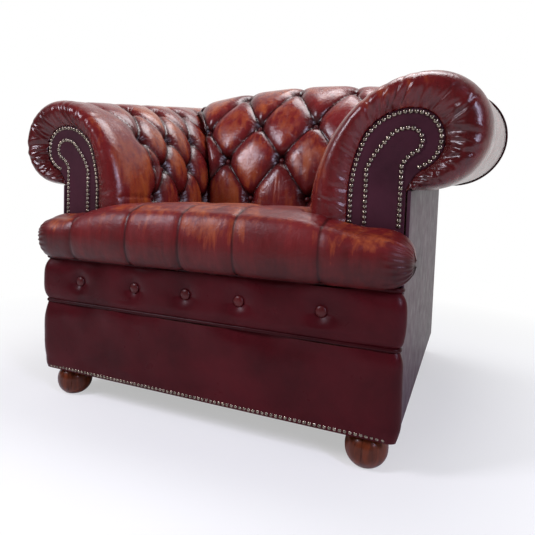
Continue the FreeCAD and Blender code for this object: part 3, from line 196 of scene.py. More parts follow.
def tufted_leather(name, rub=1.0, low=0.18, high=0.34, shine=0.40):
    """Antiqued leather, rubbed on its crowns, painted darker in its folds as shade, with a painted shade line along
    each crease, and creased in fans round its buttons.
    """
    made = Finish(name)
    tint = finish()
    wear_and_painted_light = made.add("Attribute", attribute_name="wear_and_painted_light").outputs["Fac"]
    tuft = made.add("Attribute", attribute_name="tuft").outputs["Vector"]
    across, along, from_fold = made.add("SeparateXYZ", {0: tuft}).outputs
    away = made.math("SQRT", made.math("ADD", made.math("POWER", across, 2.0), made.math("POWER", along, 2.0)))
    turn = made.math("ARCTAN2", along, across)
    ragged = made.math("MULTIPLY", made.noise(24.0, 3.0), 9.0)
    wide, narrow = (made.math("SINE", made.math("ADD", made.math("MULTIPLY", turn, spokes), ragged))
                    for spokes in (15.0, 27.0))
    near = made.remap(away, 0.008, 0.048, 1.0, 0.0)
    near = made.math("MULTIPLY", near, near)
    fans = made.math("MULTIPLY", made.math("ADD", wide, made.math("MULTIPLY", narrow, 0.5)), near)
    normal = made.bump(fans, 0.0012, 0.28)
    normal = made.bump(made.noise(26.0, 4.0, 0.6, 2.2), 0.0030, 0.30, normal)
    normal = leather_grain(made, normal)

    streaks = made.noise(3.0, 5.0, 0.6, 0.3, made.stretched((22.0, 22.0, 2.0)))
    # Painted shade and light: worn carries real rub together with painted fold shade; the ramp darkens the leather
    # down into its folds and lightens it on the highest crowns, where it is also rubbed.
    worn = made.added(wear_and_painted_light, made.noise(9.0, 5.0, 0.62, 0.4), 0.75)
    worn = made.math("ADD", made.added(worn, streaks, 0.55), 0.0, clamp=True)
    base = made.ramp(worn, [(0.10, tint.fold_shade), (0.48, times(tint.red, 0.44)),
                            (0.85, tint.red), (1.0, times(tint.red, 1.25))])
    patches = made.noise(7.0, 4.0, 0.6, 0.4, made.stretched((1.0, 1.0, 0.5)))
    patches = made.math("ADD", made.math("MULTIPLY", patches, 0.72), made.math("MULTIPLY", streaks, 0.30))
    rubbed = made.remap(made.math("MULTIPLY", worn, patches), 0.43, 0.64, 0.0, 0.80 * rub)
    base = made.mixed(made.math("MULTIPLY", rubbed, 1.0, clamp=True), base, tint.rubbed)
    # Painted shade: a dark line along each fold stands in for the shadow inside its tight crease.
    crease_shade = made.ramp(made.remap(from_fold, 0.0008, 0.0040, 0.0, 1.0),
                       [(0.0, (0.85, 0.85, 0.85)), (1.0, (0.0, 0.0, 0.0))])
    base = made.mixed(crease_shade, base, times(tint.fold_shade, 0.6))
    rough = made.remap(made.noise(38.0, 5.0, 0.6), 0.3, 0.7, low, high)
    return made.shade(base, rough, normal, Specular_IOR_Level=shine)


def plain_leather(name, tint, low=0.30, high=0.44, wave=0.5, shine=0.09):
    """Flat-stretched leather with grain, faint clouding and gentle hand-stretched waves."""
    made = Finish(name)
    dark = times(tint, 0.62)
    base = made.ramp(made.noise(7.0, 5.0, 0.62, 0.3), [(0.30, dark), (0.52, tint), (0.75, times(tint, 1.35))])
    fine = made.noise(60.0, 4.0, 0.6, 0.0, made.stretched((1.0, 1.0, 0.25)))
    base = made.mixed(made.remap(fine, 0.45, 0.8, 0.0, 0.15), base, dark)
    normal = leather_grain(made, made.bump(made.noise(7.5, 2.0, 0.5), 0.012, wave), 0.8)
    rough = made.remap(made.noise(30.0, 5.0, 0.6), 0.3, 0.7, low, high)
    return made.shade(base, rough, normal, Specular_IOR_Level=shine)


def antique_brass(name):
    made = Finish(name)
    tint = finish().brass
    tarnish = made.noise(260.0, 4.0, 0.6)
    base = made.ramp(tarnish, [(0.35, times(tint, 0.22)), (0.62, tint)])
    normal = made.bump(made.noise(420.0, 3.0), 0.0002, 0.5)
    return made.shade(base, made.remap(tarnish, 0.3, 0.7, 0.36, 0.18), normal, Metallic=1.0)


def turned_wood(name):
    made = Finish(name)
    tint = finish().foot
    grain = made.noise(16.0, 6.0, 0.6, 0.8, made.stretched((5.0, 5.0, 0.6)))
    base = made.ramp(grain, [(0.28, times(tint, 0.30)), (0.55, tint), (0.80, times(tint, 1.7))])
    pores = made.noise(140.0, 3.0, 0.5, 0.0, made.stretched((1.0, 1.0, 0.08)))
    base = made.mixed(made.remap(pores, 0.52, 0.75, 0.0, 0.5), base, times(tint, 0.2))
    return made.shade(base, made.remap(grain, 0.3, 0.7, 0.26, 0.36), made.bump(pores, 0.0003, 0.3),
                      Coat_Weight=0.15, Coat_Roughness=0.12, Specular_IOR_Level=0.2)


def sawn_timber(name):
    made = Finish(name)
    grain = made.noise(9.0, 6.0, 0.65, 1.2, made.stretched((1.0, 6.0, 6.0)))
    base = made.ramp(grain, [(0.30, (0.34, 0.20, 0.095)), (0.55, (0.50, 0.32, 0.17)), (0.80, (0.60, 0.42, 0.25))])
    normal = made.bump(made.noise(120.0, 4.0), 0.0006, 0.4)
    return made.shade(base, made.remap(grain, 0.3, 0.7, 0.75, 0.60), normal)


def woven_cloth(name, tint, pitch):
    """Plain-woven cloth with crossing threads."""
    made = Finish(name)
    sockets = {"Scale": 1.0 / (pitch * 20.0), "Distortion": 0.6, "Vector": made.place}
    threads = made.math("MAXIMUM", *(made.add("TexWave", sockets, bands_direction=direction).outputs["Fac"]
                                     for direction in ("X", "Y")))
    base = made.ramp(threads, [(0.25, times(tint, 0.35)), (0.8, tint)])
    slubs = made.noise(35.0, 4.0)
    base = made.mixed(made.remap(slubs, 0.4, 0.7, 0.0, 0.3), base, times(tint, 0.6))
    return made.shade(base, made.remap(slubs, 0.3, 0.7, 0.8, 0.95), made.bump(threads, 0.0006, 0.8))


def plated_metal(name, tint, low, high):
    made = Finish(name)
    smear = made.noise(70.0, 4.0, 0.6)
    base = made.ramp(smear, [(0.3, times(tint, 0.7)), (0.7, tint)])
    normal = made.bump(made.noise(300.0, 3.0), 0.0001, 0.4)
    return made.shade(base, made.remap(smear, 0.3, 0.7, low, high), normal, Metallic=1.0)


def seen_rays(made, low, high):
    """1 for rays that show the backdrop: the camera's, those of glass, and gloss where y grows from low to high."""
    rays = made.add("LightPath").outputs
    back = made.remap(made.add("SeparateXYZ", {0: made.place}).outputs["Y"], low, high, 0.0, 1.0)
    seen = made.math("MAXIMUM", rays["Is Camera Ray"], rays["Is Transmission Ray"])
    return made.math("MAXIMUM", seen, made.math("MULTIPLY", rays["Is Glossy Ray"], back))


def pale_floor():
    """Pale matt floor that takes the chair's shadow and melts into the white backdrop further out."""
    made = Finish("pale_floor")
    made.shade(made.ramp(made.noise(1.5, 3.0), [(0.3, (0.86, 0.86, 0.86)), (0.7, (0.89, 0.89, 0.89))]), 0.85)
    away = made.add("VectorMath", {0: made.place}, operation="LENGTH").outputs["Value"]
    share = made.ramp(made.remap(away, 0.45, 1.45, 0.0, 1.0), [(0.0, (0.45, 0.45, 0.45)), (1.0, (1.0, 1.0, 1.0))])
    share = made.math("MULTIPLY", share, seen_rays(made, 0.0, 0.6))
    mix = made.add("MixShader", {0: share, 1: made.shader.outputs[0], 2: made.add("Emission").outputs[0]})
    made.feed(made.tree.nodes["Material Output"], {"Surface": mix.outputs[0]})
    return made.material


MATERIALS = {}


def makers():
    """What makes each finish, and what that takes after the finish's name."""
    tint = finish()
    return {
        "inside_leather": (tufted_leather,),
        "seat_leather": (tufted_leather, 1.1, 0.32, 0.46, 0.24),
        "border_leather": (plain_leather, tint.border, 0.26, 0.40, 0.7),
        "facing_leather": (plain_leather, tint.plum, 0.42, 0.56, 0.25, 0.12),
        # Painted reflection: its violet-grey tint stands in for a bluish sheen on the leather.
        "outside_leather": (plain_leather, tint.outside, 0.38, 0.52, 0.25, 0.12),
        "piping_leather": (plain_leather, times(tint.border, 0.55)),
        "button_leather": (plain_leather, times(tint.red, 0.5), 0.30, 0.42, 0.0, 0.25),
        "antique_brass": (antique_brass,),
        "stained_wood": (turned_wood,),
        "sawn_timber": (sawn_timber,),
        "hessian": (woven_cloth, (0.36, 0.25, 0.12), 0.0018),
        "webbing": (woven_cloth, (0.30, 0.20, 0.10), 0.0012),
        "dust_cloth": (woven_cloth, (0.012, 0.012, 0.013), 0.0008),
        "zinc": (plated_metal, (0.60, 0.61, 0.63), 0.25, 0.42),
        "spring_steel": (plated_metal, (0.22, 0.22, 0.24), 0.32, 0.5),
        "insert_brass": (plated_metal, (0.66, 0.48, 0.19), 0.22, 0.4),
    }


def material(name):
    """A finish by name, made when it is first asked for."""
    if name not in MATERIALS:
        maker, *values = makers()[name]
        MATERIALS[name] = maker(name, *values)
    return MATERIALS[name]


# Making pieces.

def piece(name, bm, finish_name, slot, *stands_for, smooth=True):
    """Turns a bmesh into a named piece of the chair that rides on the frame."""
    mesh = bpy.data.meshes.new(name)
    bm.to_mesh(mesh)
    bm.free()
    made = bpy.data.objects.new(name, mesh)
    bpy.context.scene.collection.objects.link(made)
    mesh.materials.append(material(finish_name))
    mesh.polygons.foreach_set("use_smooth", [smooth] * len(mesh.polygons))
    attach(made, "root")
    if stands_for:
        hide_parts(*stands_for)
    return made


def smooth_step(value, low, high):
    share = np.clip((value - low) / (high - low), 0.0, 1.0)
    return share * share * (3.0 - 2.0 * share)


def round_fall(share):
    """1 at a fold and 0 at a puff's crown, along the arc of a circle."""
    near = 1.0 - np.clip(share, 0.0, 1.0)
    return 1.0 - np.sqrt(1.0 - near * near)


def shaped_sheet(columns, rows, shape):
    """A grid whose vertices a function moves from (across, along) shares to their places.

    The function gives places, wear with painted light (painted shade down in the folds) and the vector (across and
    along the nearest button, and fold distance).
    """
    bm = bmesh.new()
    bmesh.ops.create_grid(bm, x_segments=columns, y_segments=rows, size=0.5)
    shares = np.array([vert.co for vert in bm.verts]) + 0.5
    places, wear_and_painted_light, tuft = shape(shares[:, 0], shares[:, 1])
    wear_layer = bm.verts.layers.float.new("wear_and_painted_light")
    tuft_layer = bm.verts.layers.float_vector.new("tuft")
    for vert, place, worn, near in zip(bm.verts, places, wear_and_painted_light, tuft):
        vert.co = place
        vert[wear_layer] = worn
        vert[tuft_layer] = near
    return bm


class Tufting:
    """The buttons and folds of a pad, laid out on its flattened cover."""

    DIMPLE = 0.017  # how far a button's own pull reaches
    # Painted shade: at this drop the leather is painted fully in fold shade.
    DARKEST = 0.027  # drop at which the leather has no wear left
    SAG = 0.30  # share of its depth that a fold loses half-way

    def __init__(self):
        self.buttons = []
        self.folds = []

    def button(self, across, along):
        self.buttons.append((across, along))

    def fold(self, start, end, start_depth, end_depth=None, reach=None):
        """Adds a fold between two places, as deep at its end as at its start unless that is given."""
        self.folds.append((start, end, start_depth, end_depth or start_depth, reach or sizes().pleat_reach))

    def measure(self, across, along):
        """How far the cover is drawn in, how worn it is with painted shade darker down its folds, and its place
        beside the nearest button.
        """
        total = np.zeros_like(across)
        nearest_fold = np.full_like(across, 1.0)
        for start, end, start_depth, end_depth, reach in self.folds:
            run = (end[0] - start[0], end[1] - start[1])
            square = run[0] ** 2 + run[1] ** 2
            share = np.clip(((across - start[0]) * run[0] + (along - start[1]) * run[1]) / square, 0.0, 1.0)
            away = np.hypot(across - start[0] - share * run[0], along - start[1] - share * run[1])
            depth = start_depth + (end_depth - start_depth) * share
            depth = depth * (1.0 - self.SAG * 4.0 * share * (1.0 - share))
            total += (depth * round_fall(away / reach)) ** 3
            # Shallow folds count as farther off, so the painted shade line along a crease is drawn only on deep
            # folds.
            nearest_fold = np.minimum(nearest_fold, away + 2.0 * np.clip(0.005 - depth, 0.0, 1.0))
        drop = np.cbrt(total)
        beside = np.full((len(across), 3), 1.0)
        closest = np.full_like(across, 1.0)
        pull = sizes().button_pull
        for place_across, place_along in self.buttons:
            away = np.hypot(across - place_across, along - place_along)
            drop += pull * np.exp(-(away / self.DIMPLE) ** 1.6)
            taken = away < closest
            closest = np.where(taken, away, closest)
            beside[taken, 0] = (across - place_across)[taken]
            beside[taken, 1] = (along - place_along)[taken]
        beside[:, 2] = nearest_fold
        # Painted shade: the value falls from 1 on the puffs to 0 down in the folds, so the leather is painted
        # darker there; on the crowns it also marks real rub.
        wear_and_painted_light = 1.0 - np.clip(drop / self.DARKEST, 0.0, 1.0)
        return drop, wear_and_painted_light, beside


def faced_out(bm, core):
    """Turns a cover's faces away from a point inside its stuffing."""
    bmesh.ops.recalc_face_normals(bm, faces=bm.faces)
    core = Vector(core)
    if sum(face.normal.dot(face.calc_center_median() - core) for face in bm.faces) < 0.0:
        bmesh.ops.reverse_faces(bm, faces=bm.faces)
    return bm


CLOTH = {"quality": 3, "mass": 0.4, "use_pressure": True, "uniform_pressure_force": 4.0}
CLOTH_FRAMES = 12
HOLD_LEVELS = 10


def read(items, name, width=1, kind=float):
    """One property of all the items of a mesh, as an array."""
    found = np.empty(width * len(items), dtype=kind)
    items.foreach_get(name, found)
    return found.reshape(-1, width) if width > 1 else found


def stuffed(made, held_from=None, cap=0.006):
    """Folds, buttons and open edges are held; held_from names the y in front of which everything is.
    """
    mesh = made.data
    start = read(mesh.vertices, "co", 3)
    hold = np.clip(1.25 - 1.25 * read(mesh.attributes["wear_and_painted_light"].data, "value"), 0.0, 1.0)
    if held_from is not None:
        hold = np.maximum(hold, smooth_step(held_from - start[:, 1], -0.03, 0.0))
    uses = np.bincount(read(mesh.loops, "edge_index", kind=int), minlength=len(mesh.edges))
    hold[read(mesh.edges, "vertices", 2, int)[uses == 1].ravel()] = 1.0
    held = made.vertex_groups.new(name="held")
    for level in range(1, HOLD_LEVELS + 1):
        chosen = np.nonzero(np.ceil(hold * HOLD_LEVELS) == level)[0]
        held.add([int(index) for index in chosen], level / HOLD_LEVELS, "REPLACE")
    cloth = made.modifiers.new("settle", "CLOTH")
    for name, value in CLOTH.items():
        setattr(cloth.settings, name, value)
    cloth.settings.effector_weights.gravity = 0.0
    cloth.settings.vertex_group_mass = "held"
    cloth.collision_settings.use_collision = False
    scene = bpy.context.scene
    for frame_number in range(1, CLOTH_FRAMES + 1):
        scene.frame_set(frame_number)
    settled = made.evaluated_get(bpy.context.evaluated_depsgraph_get()).to_mesh()
    moved = read(settled.vertices, "co", 3) - start
    far = np.linalg.norm(moved, axis=1, keepdims=True)
    moved *= np.minimum(1.0, cap / np.maximum(far, 1e-9))
    made.modifiers.remove(cloth)
    made.vertex_groups.remove(held)
    mesh.vertices.foreach_set("co", (start + moved).ravel())
    mesh.update()
    scene.frame_set(1)
    hide = made.modifiers.new("thickness", "SOLIDIFY")
    hide.thickness = sizes().leather
    hide.offset = -1.0


# Shape of the arms and the back, as their frame has it.

SPRINGLINE = 0.436  # height at which the inside faces start to lean outwards
HALF_SEAT_GAP = 0.212
FACING_FRONT = -0.3345
PAD_START = -0.3045
BACK_INSIDE = 0.4085
BACK_FACE = 0.0175
BACK_CREST = 0.2435
CREST_HEIGHT = 0.822
CREST_DROP = 0.032
BACK_EDGE = 0.816
BACK_TOP = 0.165  # run over the back's flat top
HALF_BACK = 0.350
MITRE = BACK_FACE - HALF_SEAT_GAP
BASE_BOTTOM = 0.060
ROW_ANGLES = [math.asin(share) for share in (0.943, 0.658, 0.394, 0.098)]
ARM_STEP = 0.0575
ARM_COLUMNS = [-0.2125 + ARM_STEP * number for number in range(7)]
BACK_STEP = 0.085
BACK_COLUMNS = [BACK_STEP * number for number in range(-5, 6)]
FOLD_FOOT = -0.09  # run at which the lowest folds end, behind the seat
ROLL_NOMINAL = 0.118  # radius by which runs round the roll are measured
ROLL_LENGTH = 0.749
ROLL_FRONT = (0.418, 0.582, 0.099)  # centre x, centre z and radius at the facing
ROLL_GROWTH = (0.019, 0.098, 0.040)  # what each of them gains along the roll


def roll_at(y):
    """Centre x, centre z and radius of the arm roll at a place along it."""
    share = (y - FACING_FRONT) / ROLL_LENGTH
    return [start + growth * share for start, growth in zip(ROLL_FRONT, ROLL_GROWTH)]


def leaning(angle, reach, rise):
    """Place behind the crest, height, and outward direction on a quarter ellipse up from the springline."""
    out_across, out_up = -np.cos(angle) / reach, np.sin(angle) / rise
    size = np.hypot(out_across, out_up)
    return -reach * np.cos(angle), SPRINGLINE + rise * np.sin(angle), out_across / size, out_up / size


def arc_lengths(reach, rise, count=200):
    """Angles up a quarter ellipse and the length run at each."""
    angles = np.linspace(0.0, QUARTER, count)
    across, up = -reach * np.cos(angles), rise * np.sin(angles)
    runs = np.hypot(np.diff(across), np.diff(up))
    return angles, np.concatenate([[0.0], np.cumsum(runs)])


ARM_ANGLES, ARM_RUNS = arc_lengths(0.214, 0.300)
ARM_CREST_RUN = float(ARM_RUNS[-1])
ARM_LAST_RUN = ARM_CREST_RUN + math.pi * ROLL_NOMINAL + 0.030
BACK_REACH, BACK_RISE = 0.226, 0.386
BACK_ANGLES, BACK_RUNS = arc_lengths(BACK_REACH, BACK_RISE)
BACK_CREST_RUN = float(BACK_RUNS[-1])


def arm_surface(y, run):
    """Place and outward direction on the right arm's cover, run being measured up from the springline."""
    centre_x, centre_z, radius = roll_at(y)
    angle = np.interp(run, ARM_RUNS, ARM_ANGLES)
    inwards, z, out_x, out_z = leaning(angle, centre_x - HALF_SEAT_GAP, centre_z + radius - SPRINGLINE)
    x = centre_x + inwards
    z = np.where(run < 0.0, SPRINGLINE + run, z)
    turn = np.clip((run - ARM_CREST_RUN) / ROLL_NOMINAL, 0.0, math.pi)
    on_roll = run > ARM_CREST_RUN
    x = np.where(on_roll, centre_x + radius * np.sin(turn), x)
    z = np.where(on_roll, centre_z + radius * np.cos(turn), z)
    out_x = np.where(on_roll, np.sin(turn), out_x)
    out_z = np.where(on_roll, np.cos(turn), out_z)
    past = np.clip(run - ARM_CREST_RUN - ROLL_NOMINAL * math.pi, 0.0, 1.0)
    return x - past, z, out_x, out_z


def rows_on(angles, runs):
    """Runs at which the four rows of buttons lie on a cover."""
    return [float(np.interp(angle, angles, runs)) for angle in ROW_ANGLES]


def diamonds(columns, step, rows, crest, last):
    """Buttons in diamonds, and the folds between them, down behind the seat and up over the crest.

    Crest is the last run, last depth and reach of the folds over it. Columns before number last have folds
    to the next one.
    """
    layout = Tufting()
    depth = sizes().pleat_depth
    top, second, third, low = rows
    for number, place in enumerate(columns):
        even = number % 2 == 0
        for run in (second, low) if even else (top, third):
            layout.button(place, run)
        if even:
            layout.fold((place, low), (place, FOLD_FOOT), depth)
        else:
            layout.fold((place, top), (place, crest[0]), depth, *crest[1:])
        if number < last:
            for pair in ((second, top), (second, third), (low, third)):
                near, far = pair if even else pair[::-1]
                layout.fold((place, near), (place + step, far), depth)
    return layout


def arm_tufting():
    rows = rows_on(ARM_ANGLES, ARM_RUNS)
    layout = diamonds(ARM_COLUMNS, ARM_STEP, rows, (ARM_CREST_RUN + 0.06, 0.0005, 0.034), 7)
    depth = sizes().pleat_depth
    top, second, third, low = rows
    first = ARM_COLUMNS[0]
    layout.fold((first, second), (first - 0.045, top), depth, depth * 0.5)
    layout.fold((first - 0.045, top), (first - 0.060, ARM_CREST_RUN + 0.07), depth * 0.5, 0.001, 0.028)
    layout.fold((first, second), (first + 0.012, third), depth, depth * 0.8)
    layout.fold((first + 0.012, third), (first, low), depth * 0.8, depth)
    layout.fold((PAD_START - 0.03, 0.03), (first, low), 0.0035, 0.006, 0.012)
    return layout


# The facing's cane-shaped outline on the right side: corners as (x, z, radius of the arc that reaches them).
FACING_OUTLINE = [
    (0.287, 0.300, None), (0.388, 0.300, None), (0.388, 0.4816, None), (0.41147, 0.51726, -0.081),
    (0.447, 0.568, 0.054), (0.393, 0.622, 0.054), (0.31092, 0.57772, 0.0918), (0.287, 0.4735, 0.270)]
TONGUE_OUTLINE = [
    (0.315, 0.300, None), (0.384, 0.300, None), (0.384, 0.5228, None), (0.39823, 0.54063, -0.0405),
    (0.416, 0.566, 0.027), (0.389, 0.593, 0.027), (0.34796, 0.57086, 0.0459), (0.315, 0.51875, 0.135)]


def arc_points(start, end, radius, count=14):
    """Points after start up to end on an arc that bulges out of a counter-clockwise outline."""
    if radius is None:
        return [end]
    chord = Vector((end[0] - start[0], end[1] - start[1]))
    half = chord.length / 2
    middle = Vector(start) + chord / 2
    outwards = Vector((chord.y, -chord.x)).normalized() * math.copysign(1.0, radius)
    centre = middle - outwards * math.sqrt(radius ** 2 - half ** 2)
    first = math.atan2(start[1] - centre.y, start[0] - centre.x)
    last = math.atan2(end[1] - centre.y, end[0] - centre.x)
    sweep = (last - first + math.pi) % (2 * math.pi) - math.pi
    return [(centre.x + abs(radius) * math.cos(first + sweep * n / count),
             centre.y + abs(radius) * math.sin(first + sweep * n / count)) for n in range(1, count + 1)]


def outline_points(outline):
    points = []
    for corner, following in zip(outline, outline[1:] + outline[:1]):
        points += arc_points(corner[:2], following[:2], following[2])
    return points


def facing_edge_by_run():
    """The facing's outline from its inner foot over the head to its neck, matched to the cover's runs.

    Gives runs on the cover, how far along the outline each is nailed, and the outline's lengths and points.
    """
    walk = [FACING_OUTLINE[0], *FACING_OUTLINE[:1:-1]]
    path, lengths, marks = [walk[0][:2]], [0.0], [0.0]
    for corner, following in zip(walk, walk[1:]):
        for point in arc_points(following[:2], corner[:2], corner[2])[-2::-1] + [following[:2]]:
            lengths.append(lengths[-1] + math.dist(path[-1], point))
            path.append(point)
        marks.append(lengths[-1])
    leg, shoulder = (float(np.interp(math.radians(angle), ARM_ANGLES, ARM_RUNS)) for angle in (13.0, 48.0))
    runs = [-0.136, leg, shoulder, ARM_CREST_RUN, ARM_CREST_RUN + QUARTER * ROLL_NOMINAL,
            ARM_CREST_RUN + math.radians(160.0) * ROLL_NOMINAL, ARM_LAST_RUN]
    return runs, marks, np.array(lengths), np.array(path)


def gather_folds(seed=7):
    """Hand-made gathers round the arm's front: place along the nails, length, depth, width, slant and phase."""
    rng = np.random.default_rng(seed)
    folds = []
    place, head, neck = 0.05, 0.30, 0.62
    while place < neck:
        strong = place > head
        folds.append((place, rng.uniform(0.025, 0.085) * (1.2 if strong else 0.9),
                      rng.uniform(0.0008, 0.0026) * (1.3 if strong else 0.8),
                      rng.uniform(0.0018, 0.0044), rng.uniform(-0.40, 0.40), rng.uniform(0.0, 6.0)))
        place += rng.uniform(0.004, 0.012)
    return folds


def arm_cover_shape(layout):
    """Places the right arm's whole cover: inside, roll, and the gathered front that ends at the nails."""
    runs, marks, lengths, path = facing_edge_by_run()
    folds = gather_folds()
    first_run = -0.115
    wrap_share = 0.20  # share of the sheet that turns round the pad's front to the nails
    wrap_turn = math.radians(142.0)
    wrap_depth = 0.0295  # how far the turned leather stands in front of the pad
    stuffing = 0.0185  # and how much further it swells

    def shape(across, along):
        run = first_run + (ARM_LAST_RUN - first_run) * across
        wrap = np.clip((wrap_share - along) / wrap_share, 0.0, 1.0)
        back = np.clip((along - wrap_share) / (1.0 - wrap_share), 0.0, 1.0)
        y = PAD_START + (BACK_INSIDE - 0.001 - PAD_START) * back
        x, z, out_x, out_z = arm_surface(y, run)
        mark = np.interp(run, runs, marks)
        edge_x, edge_z = (np.interp(mark, lengths, path[:, axis]) for axis in (0, 1))
        turn = wrap * wrap_turn
        drawn = (1.0 - np.cos(turn)) / (1.0 - math.cos(wrap_turn))
        gap = np.hypot(edge_x - x, edge_z - z)
        swell = stuffing * np.clip(gap / 0.05, 0.0, 1.0)
        forward = wrap_depth * np.sin(np.minimum(turn, QUARTER)) + swell * np.sin(math.pi * wrap)
        drop, wear_and_painted_light, beside = layout.measure(y - turn * 0.045, run)
        drop *= 1.0 - 0.75 * smooth_step(wrap, 0.15, 0.8)
        from_nails = (1.0 - wrap) * 0.085 + np.clip(y - PAD_START, 0.0, 1.0)
        for place, reach, depth, width, slant, phase in folds:
            drift = slant * from_nails + 0.0022 * np.sin(from_nails * 70.0 + phase)
            away = np.abs(mark - place - drift)
            fade = np.clip(1.0 - from_nails / reach, 0.0, 1.0)
            valley = np.exp(-(away / width) ** 1.3) - 0.55 * np.exp(-((away - 1.9 * width) / width) ** 2)
            drop = drop + depth * 1.7 * valley * fade ** 1.4 * smooth_step(gap, 0.004, 0.03)
        lean = np.abs(np.cos(turn) * (wrap < 1.0))
        places = np.stack([x + (edge_x - x) * drawn - out_x * drop * lean,
                           y - forward + drop * np.sin(np.minimum(turn, QUARTER)),
                           z + (edge_z - z) * drawn - out_z * drop * lean], axis=1)
        # Painted shade: the leather is painted darker over the roll's outer side and where it turns round the front
        # to the nails.
        worn = wear_and_painted_light * (1.0 - 0.28 * smooth_step(run, ARM_CREST_RUN - 0.03, ARM_CREST_RUN + 0.10))
        return places, worn * (1.0 - 0.30 * smooth_step(wrap, 0.0, 0.7)), beside
    return shape


def mirrored(bm, side):
    """Turns a bmesh of the chair's right side into one of its left side where side is -1."""
    if side < 0:
        bmesh.ops.scale(bm, vec=(-1, 1, 1), verts=bm.verts)
    return bm


class ARMCHAIR_OT_arms(bpy.types.Operator):
    """Covers both arms with buttoned leather that is gathered round the scroll at the front"""
    bl_idname = "armchair.arms"
    bl_label = "Arm covers"

    def execute(self, context):
        for side, name in SIDES:
            bm = mirrored(shaped_sheet(250, 190, arm_cover_shape(arm_tufting())), side)
            made = piece(f"arm_cover_{name}", faced_out(bm, (side * 0.42, 0.0, 0.58)), "inside_leather",
                         "inside_leather", f"inside_arm_pad_{name}", f"gathered_arm_front_{name}")
            stuffed(made, PAD_START)
        return {"FINISHED"}


def back_surface(x, run):
    """Place and outward direction on the inside back, run being measured up from the springline."""
    crest = CREST_HEIGHT - CREST_DROP * np.abs(x / HALF_BACK) ** 2
    angle = np.interp(run, BACK_RUNS, BACK_ANGLES)
    forward, z, out_y, out_z = leaning(angle, BACK_CREST - BACK_FACE, crest - SPRINGLINE)
    z = np.where(run < 0.0, SPRINGLINE + run, z)
    past = np.clip(run - BACK_CREST_RUN, 0.0, 1.0)
    share = np.clip(past / BACK_TOP, 0.0, 1.0)
    y = np.where(past > 0.0, BACK_CREST + (BACK_INSIDE - BACK_CREST) * share, BACK_CREST + forward)
    z = np.where(past > 0.0, crest + (BACK_EDGE - crest) * share + 0.005 * np.sin(math.pi * share), z)
    return y, z, out_y, out_z


def back_tufting():
    rows = rows_on(BACK_ANGLES, BACK_RUNS)
    return diamonds(BACK_COLUMNS, BACK_STEP, rows, (BACK_CREST_RUN + 0.09, 0.003, 0.042), 10)


class ARMCHAIR_OT_back(bpy.types.Operator):
    """Covers the inside back with buttoned leather between the arm rolls"""
    bl_idname = "armchair.back"
    bl_label = "Inside back"

    def execute(self, context):
        layout = back_tufting()
        first_run = -0.11
        last_run = BACK_CREST_RUN + BACK_TOP
        shown = 0.93  # share of the sheet's width that shows; the rest is a skirt that runs in behind the arms
        skirt_drop = 0.055
        seam_depth, seam_reach = 0.014, 0.026

        def shape(across, along):
            run = first_run + (last_run - first_run) * along
            y = back_surface(np.zeros_like(run), run)[0]
            half = np.clip(y - MITRE, 0.0, HALF_BACK)
            place = (2.0 * across - 1.0) / shown
            skirt = np.clip((np.abs(place) - 1.0) / 0.075, 0.0, 1.0)
            x = np.clip(place, -1.0, 1.0) * half + np.sign(place) * 0.004 * skirt
            y, z, out_y, out_z = back_surface(x, run)
            drop, wear_and_painted_light, beside = layout.measure(x, run)
            seam = round_fall((half - np.abs(x) + 0.002) / seam_reach)
            drop = np.cbrt(drop ** 3 + (seam_depth * seam) ** 3)
            rear = smooth_step(run, last_run - 0.03, last_run)
            drop = drop * (1.0 - rear) + 0.006 * rear + skirt_drop * skirt
            on_top = run > BACK_CREST_RUN
            out_y, out_z = np.where(on_top, 0.0, out_y), np.where(on_top, 1.0, out_z)
            places = np.stack([x, y - out_y * drop, z - out_z * drop], axis=1)
            # Painted shade: the leather is painted darker along the side seams, in the corners where the back meets
            # the arms.
            return places, np.clip(wear_and_painted_light - 0.8 * seam, 0.0, 1.0), beside

        bm = faced_out(shaped_sheet(180, 170, shape), (0.0, 0.35, 0.55))
        stuffed(piece("inside_back_cover", bm, "inside_leather", "inside_leather", "inside_back_pad"))
        return {"FINISHED"}


# Seat.

BORDER_FRONT = -0.3815
FRONT_BULGE = -0.4145
SEAT_SEAM = 0.318
SEAT_TOP = 0.430
HALF_SEAT = 0.414
SEAT_END = 0.062  # width over which the front roll rounds off at each end
PLEATS = (-0.295, -0.146, -0.020, 0.099, 0.261)
ROLL_STEPS = 20


def seat_height(y):
    share = (y - FRONT_BULGE) / (BACK_FACE - FRONT_BULGE)
    return SEAT_TOP - 0.010 * share + 0.016 * np.sin(math.pi * share)


def seat_profile():
    """Polyline of the seat cover from its seam, over the front roll and back to the inside back."""
    front = BORDER_FRONT + 0.006
    shoulder = SEAT_TOP - 0.006
    middle = (SEAT_SEAM - 0.003 + shoulder) / 2
    steepest = math.radians(82.0)
    points = [(front + 0.004, SEAT_SEAM + 0.0045)]
    for number in range(1, ROLL_STEPS + 1):
        turn = steepest * (2.0 * number / ROLL_STEPS - 1.0)
        depth = (front - FRONT_BULGE) * max(0.0, math.cos(turn)) ** 0.75
        points.append((front - depth, middle + (shoulder - middle) * math.sin(turn) / math.sin(steepest)))
    y = front + 0.006
    while y < BACK_FACE - 0.001:
        blend = min(1.0, (y - front) / 0.035)
        points.append((y, float(seat_height(y)) - 0.005 * (1.0 - blend) ** 2))
        y += 0.006
    points.append((BACK_FACE - 0.001, float(seat_height(BACK_FACE))))
    path = np.array(points)
    runs = np.concatenate([[0.0], np.cumsum(np.hypot(*np.diff(path, axis=0).T))])
    return path, runs


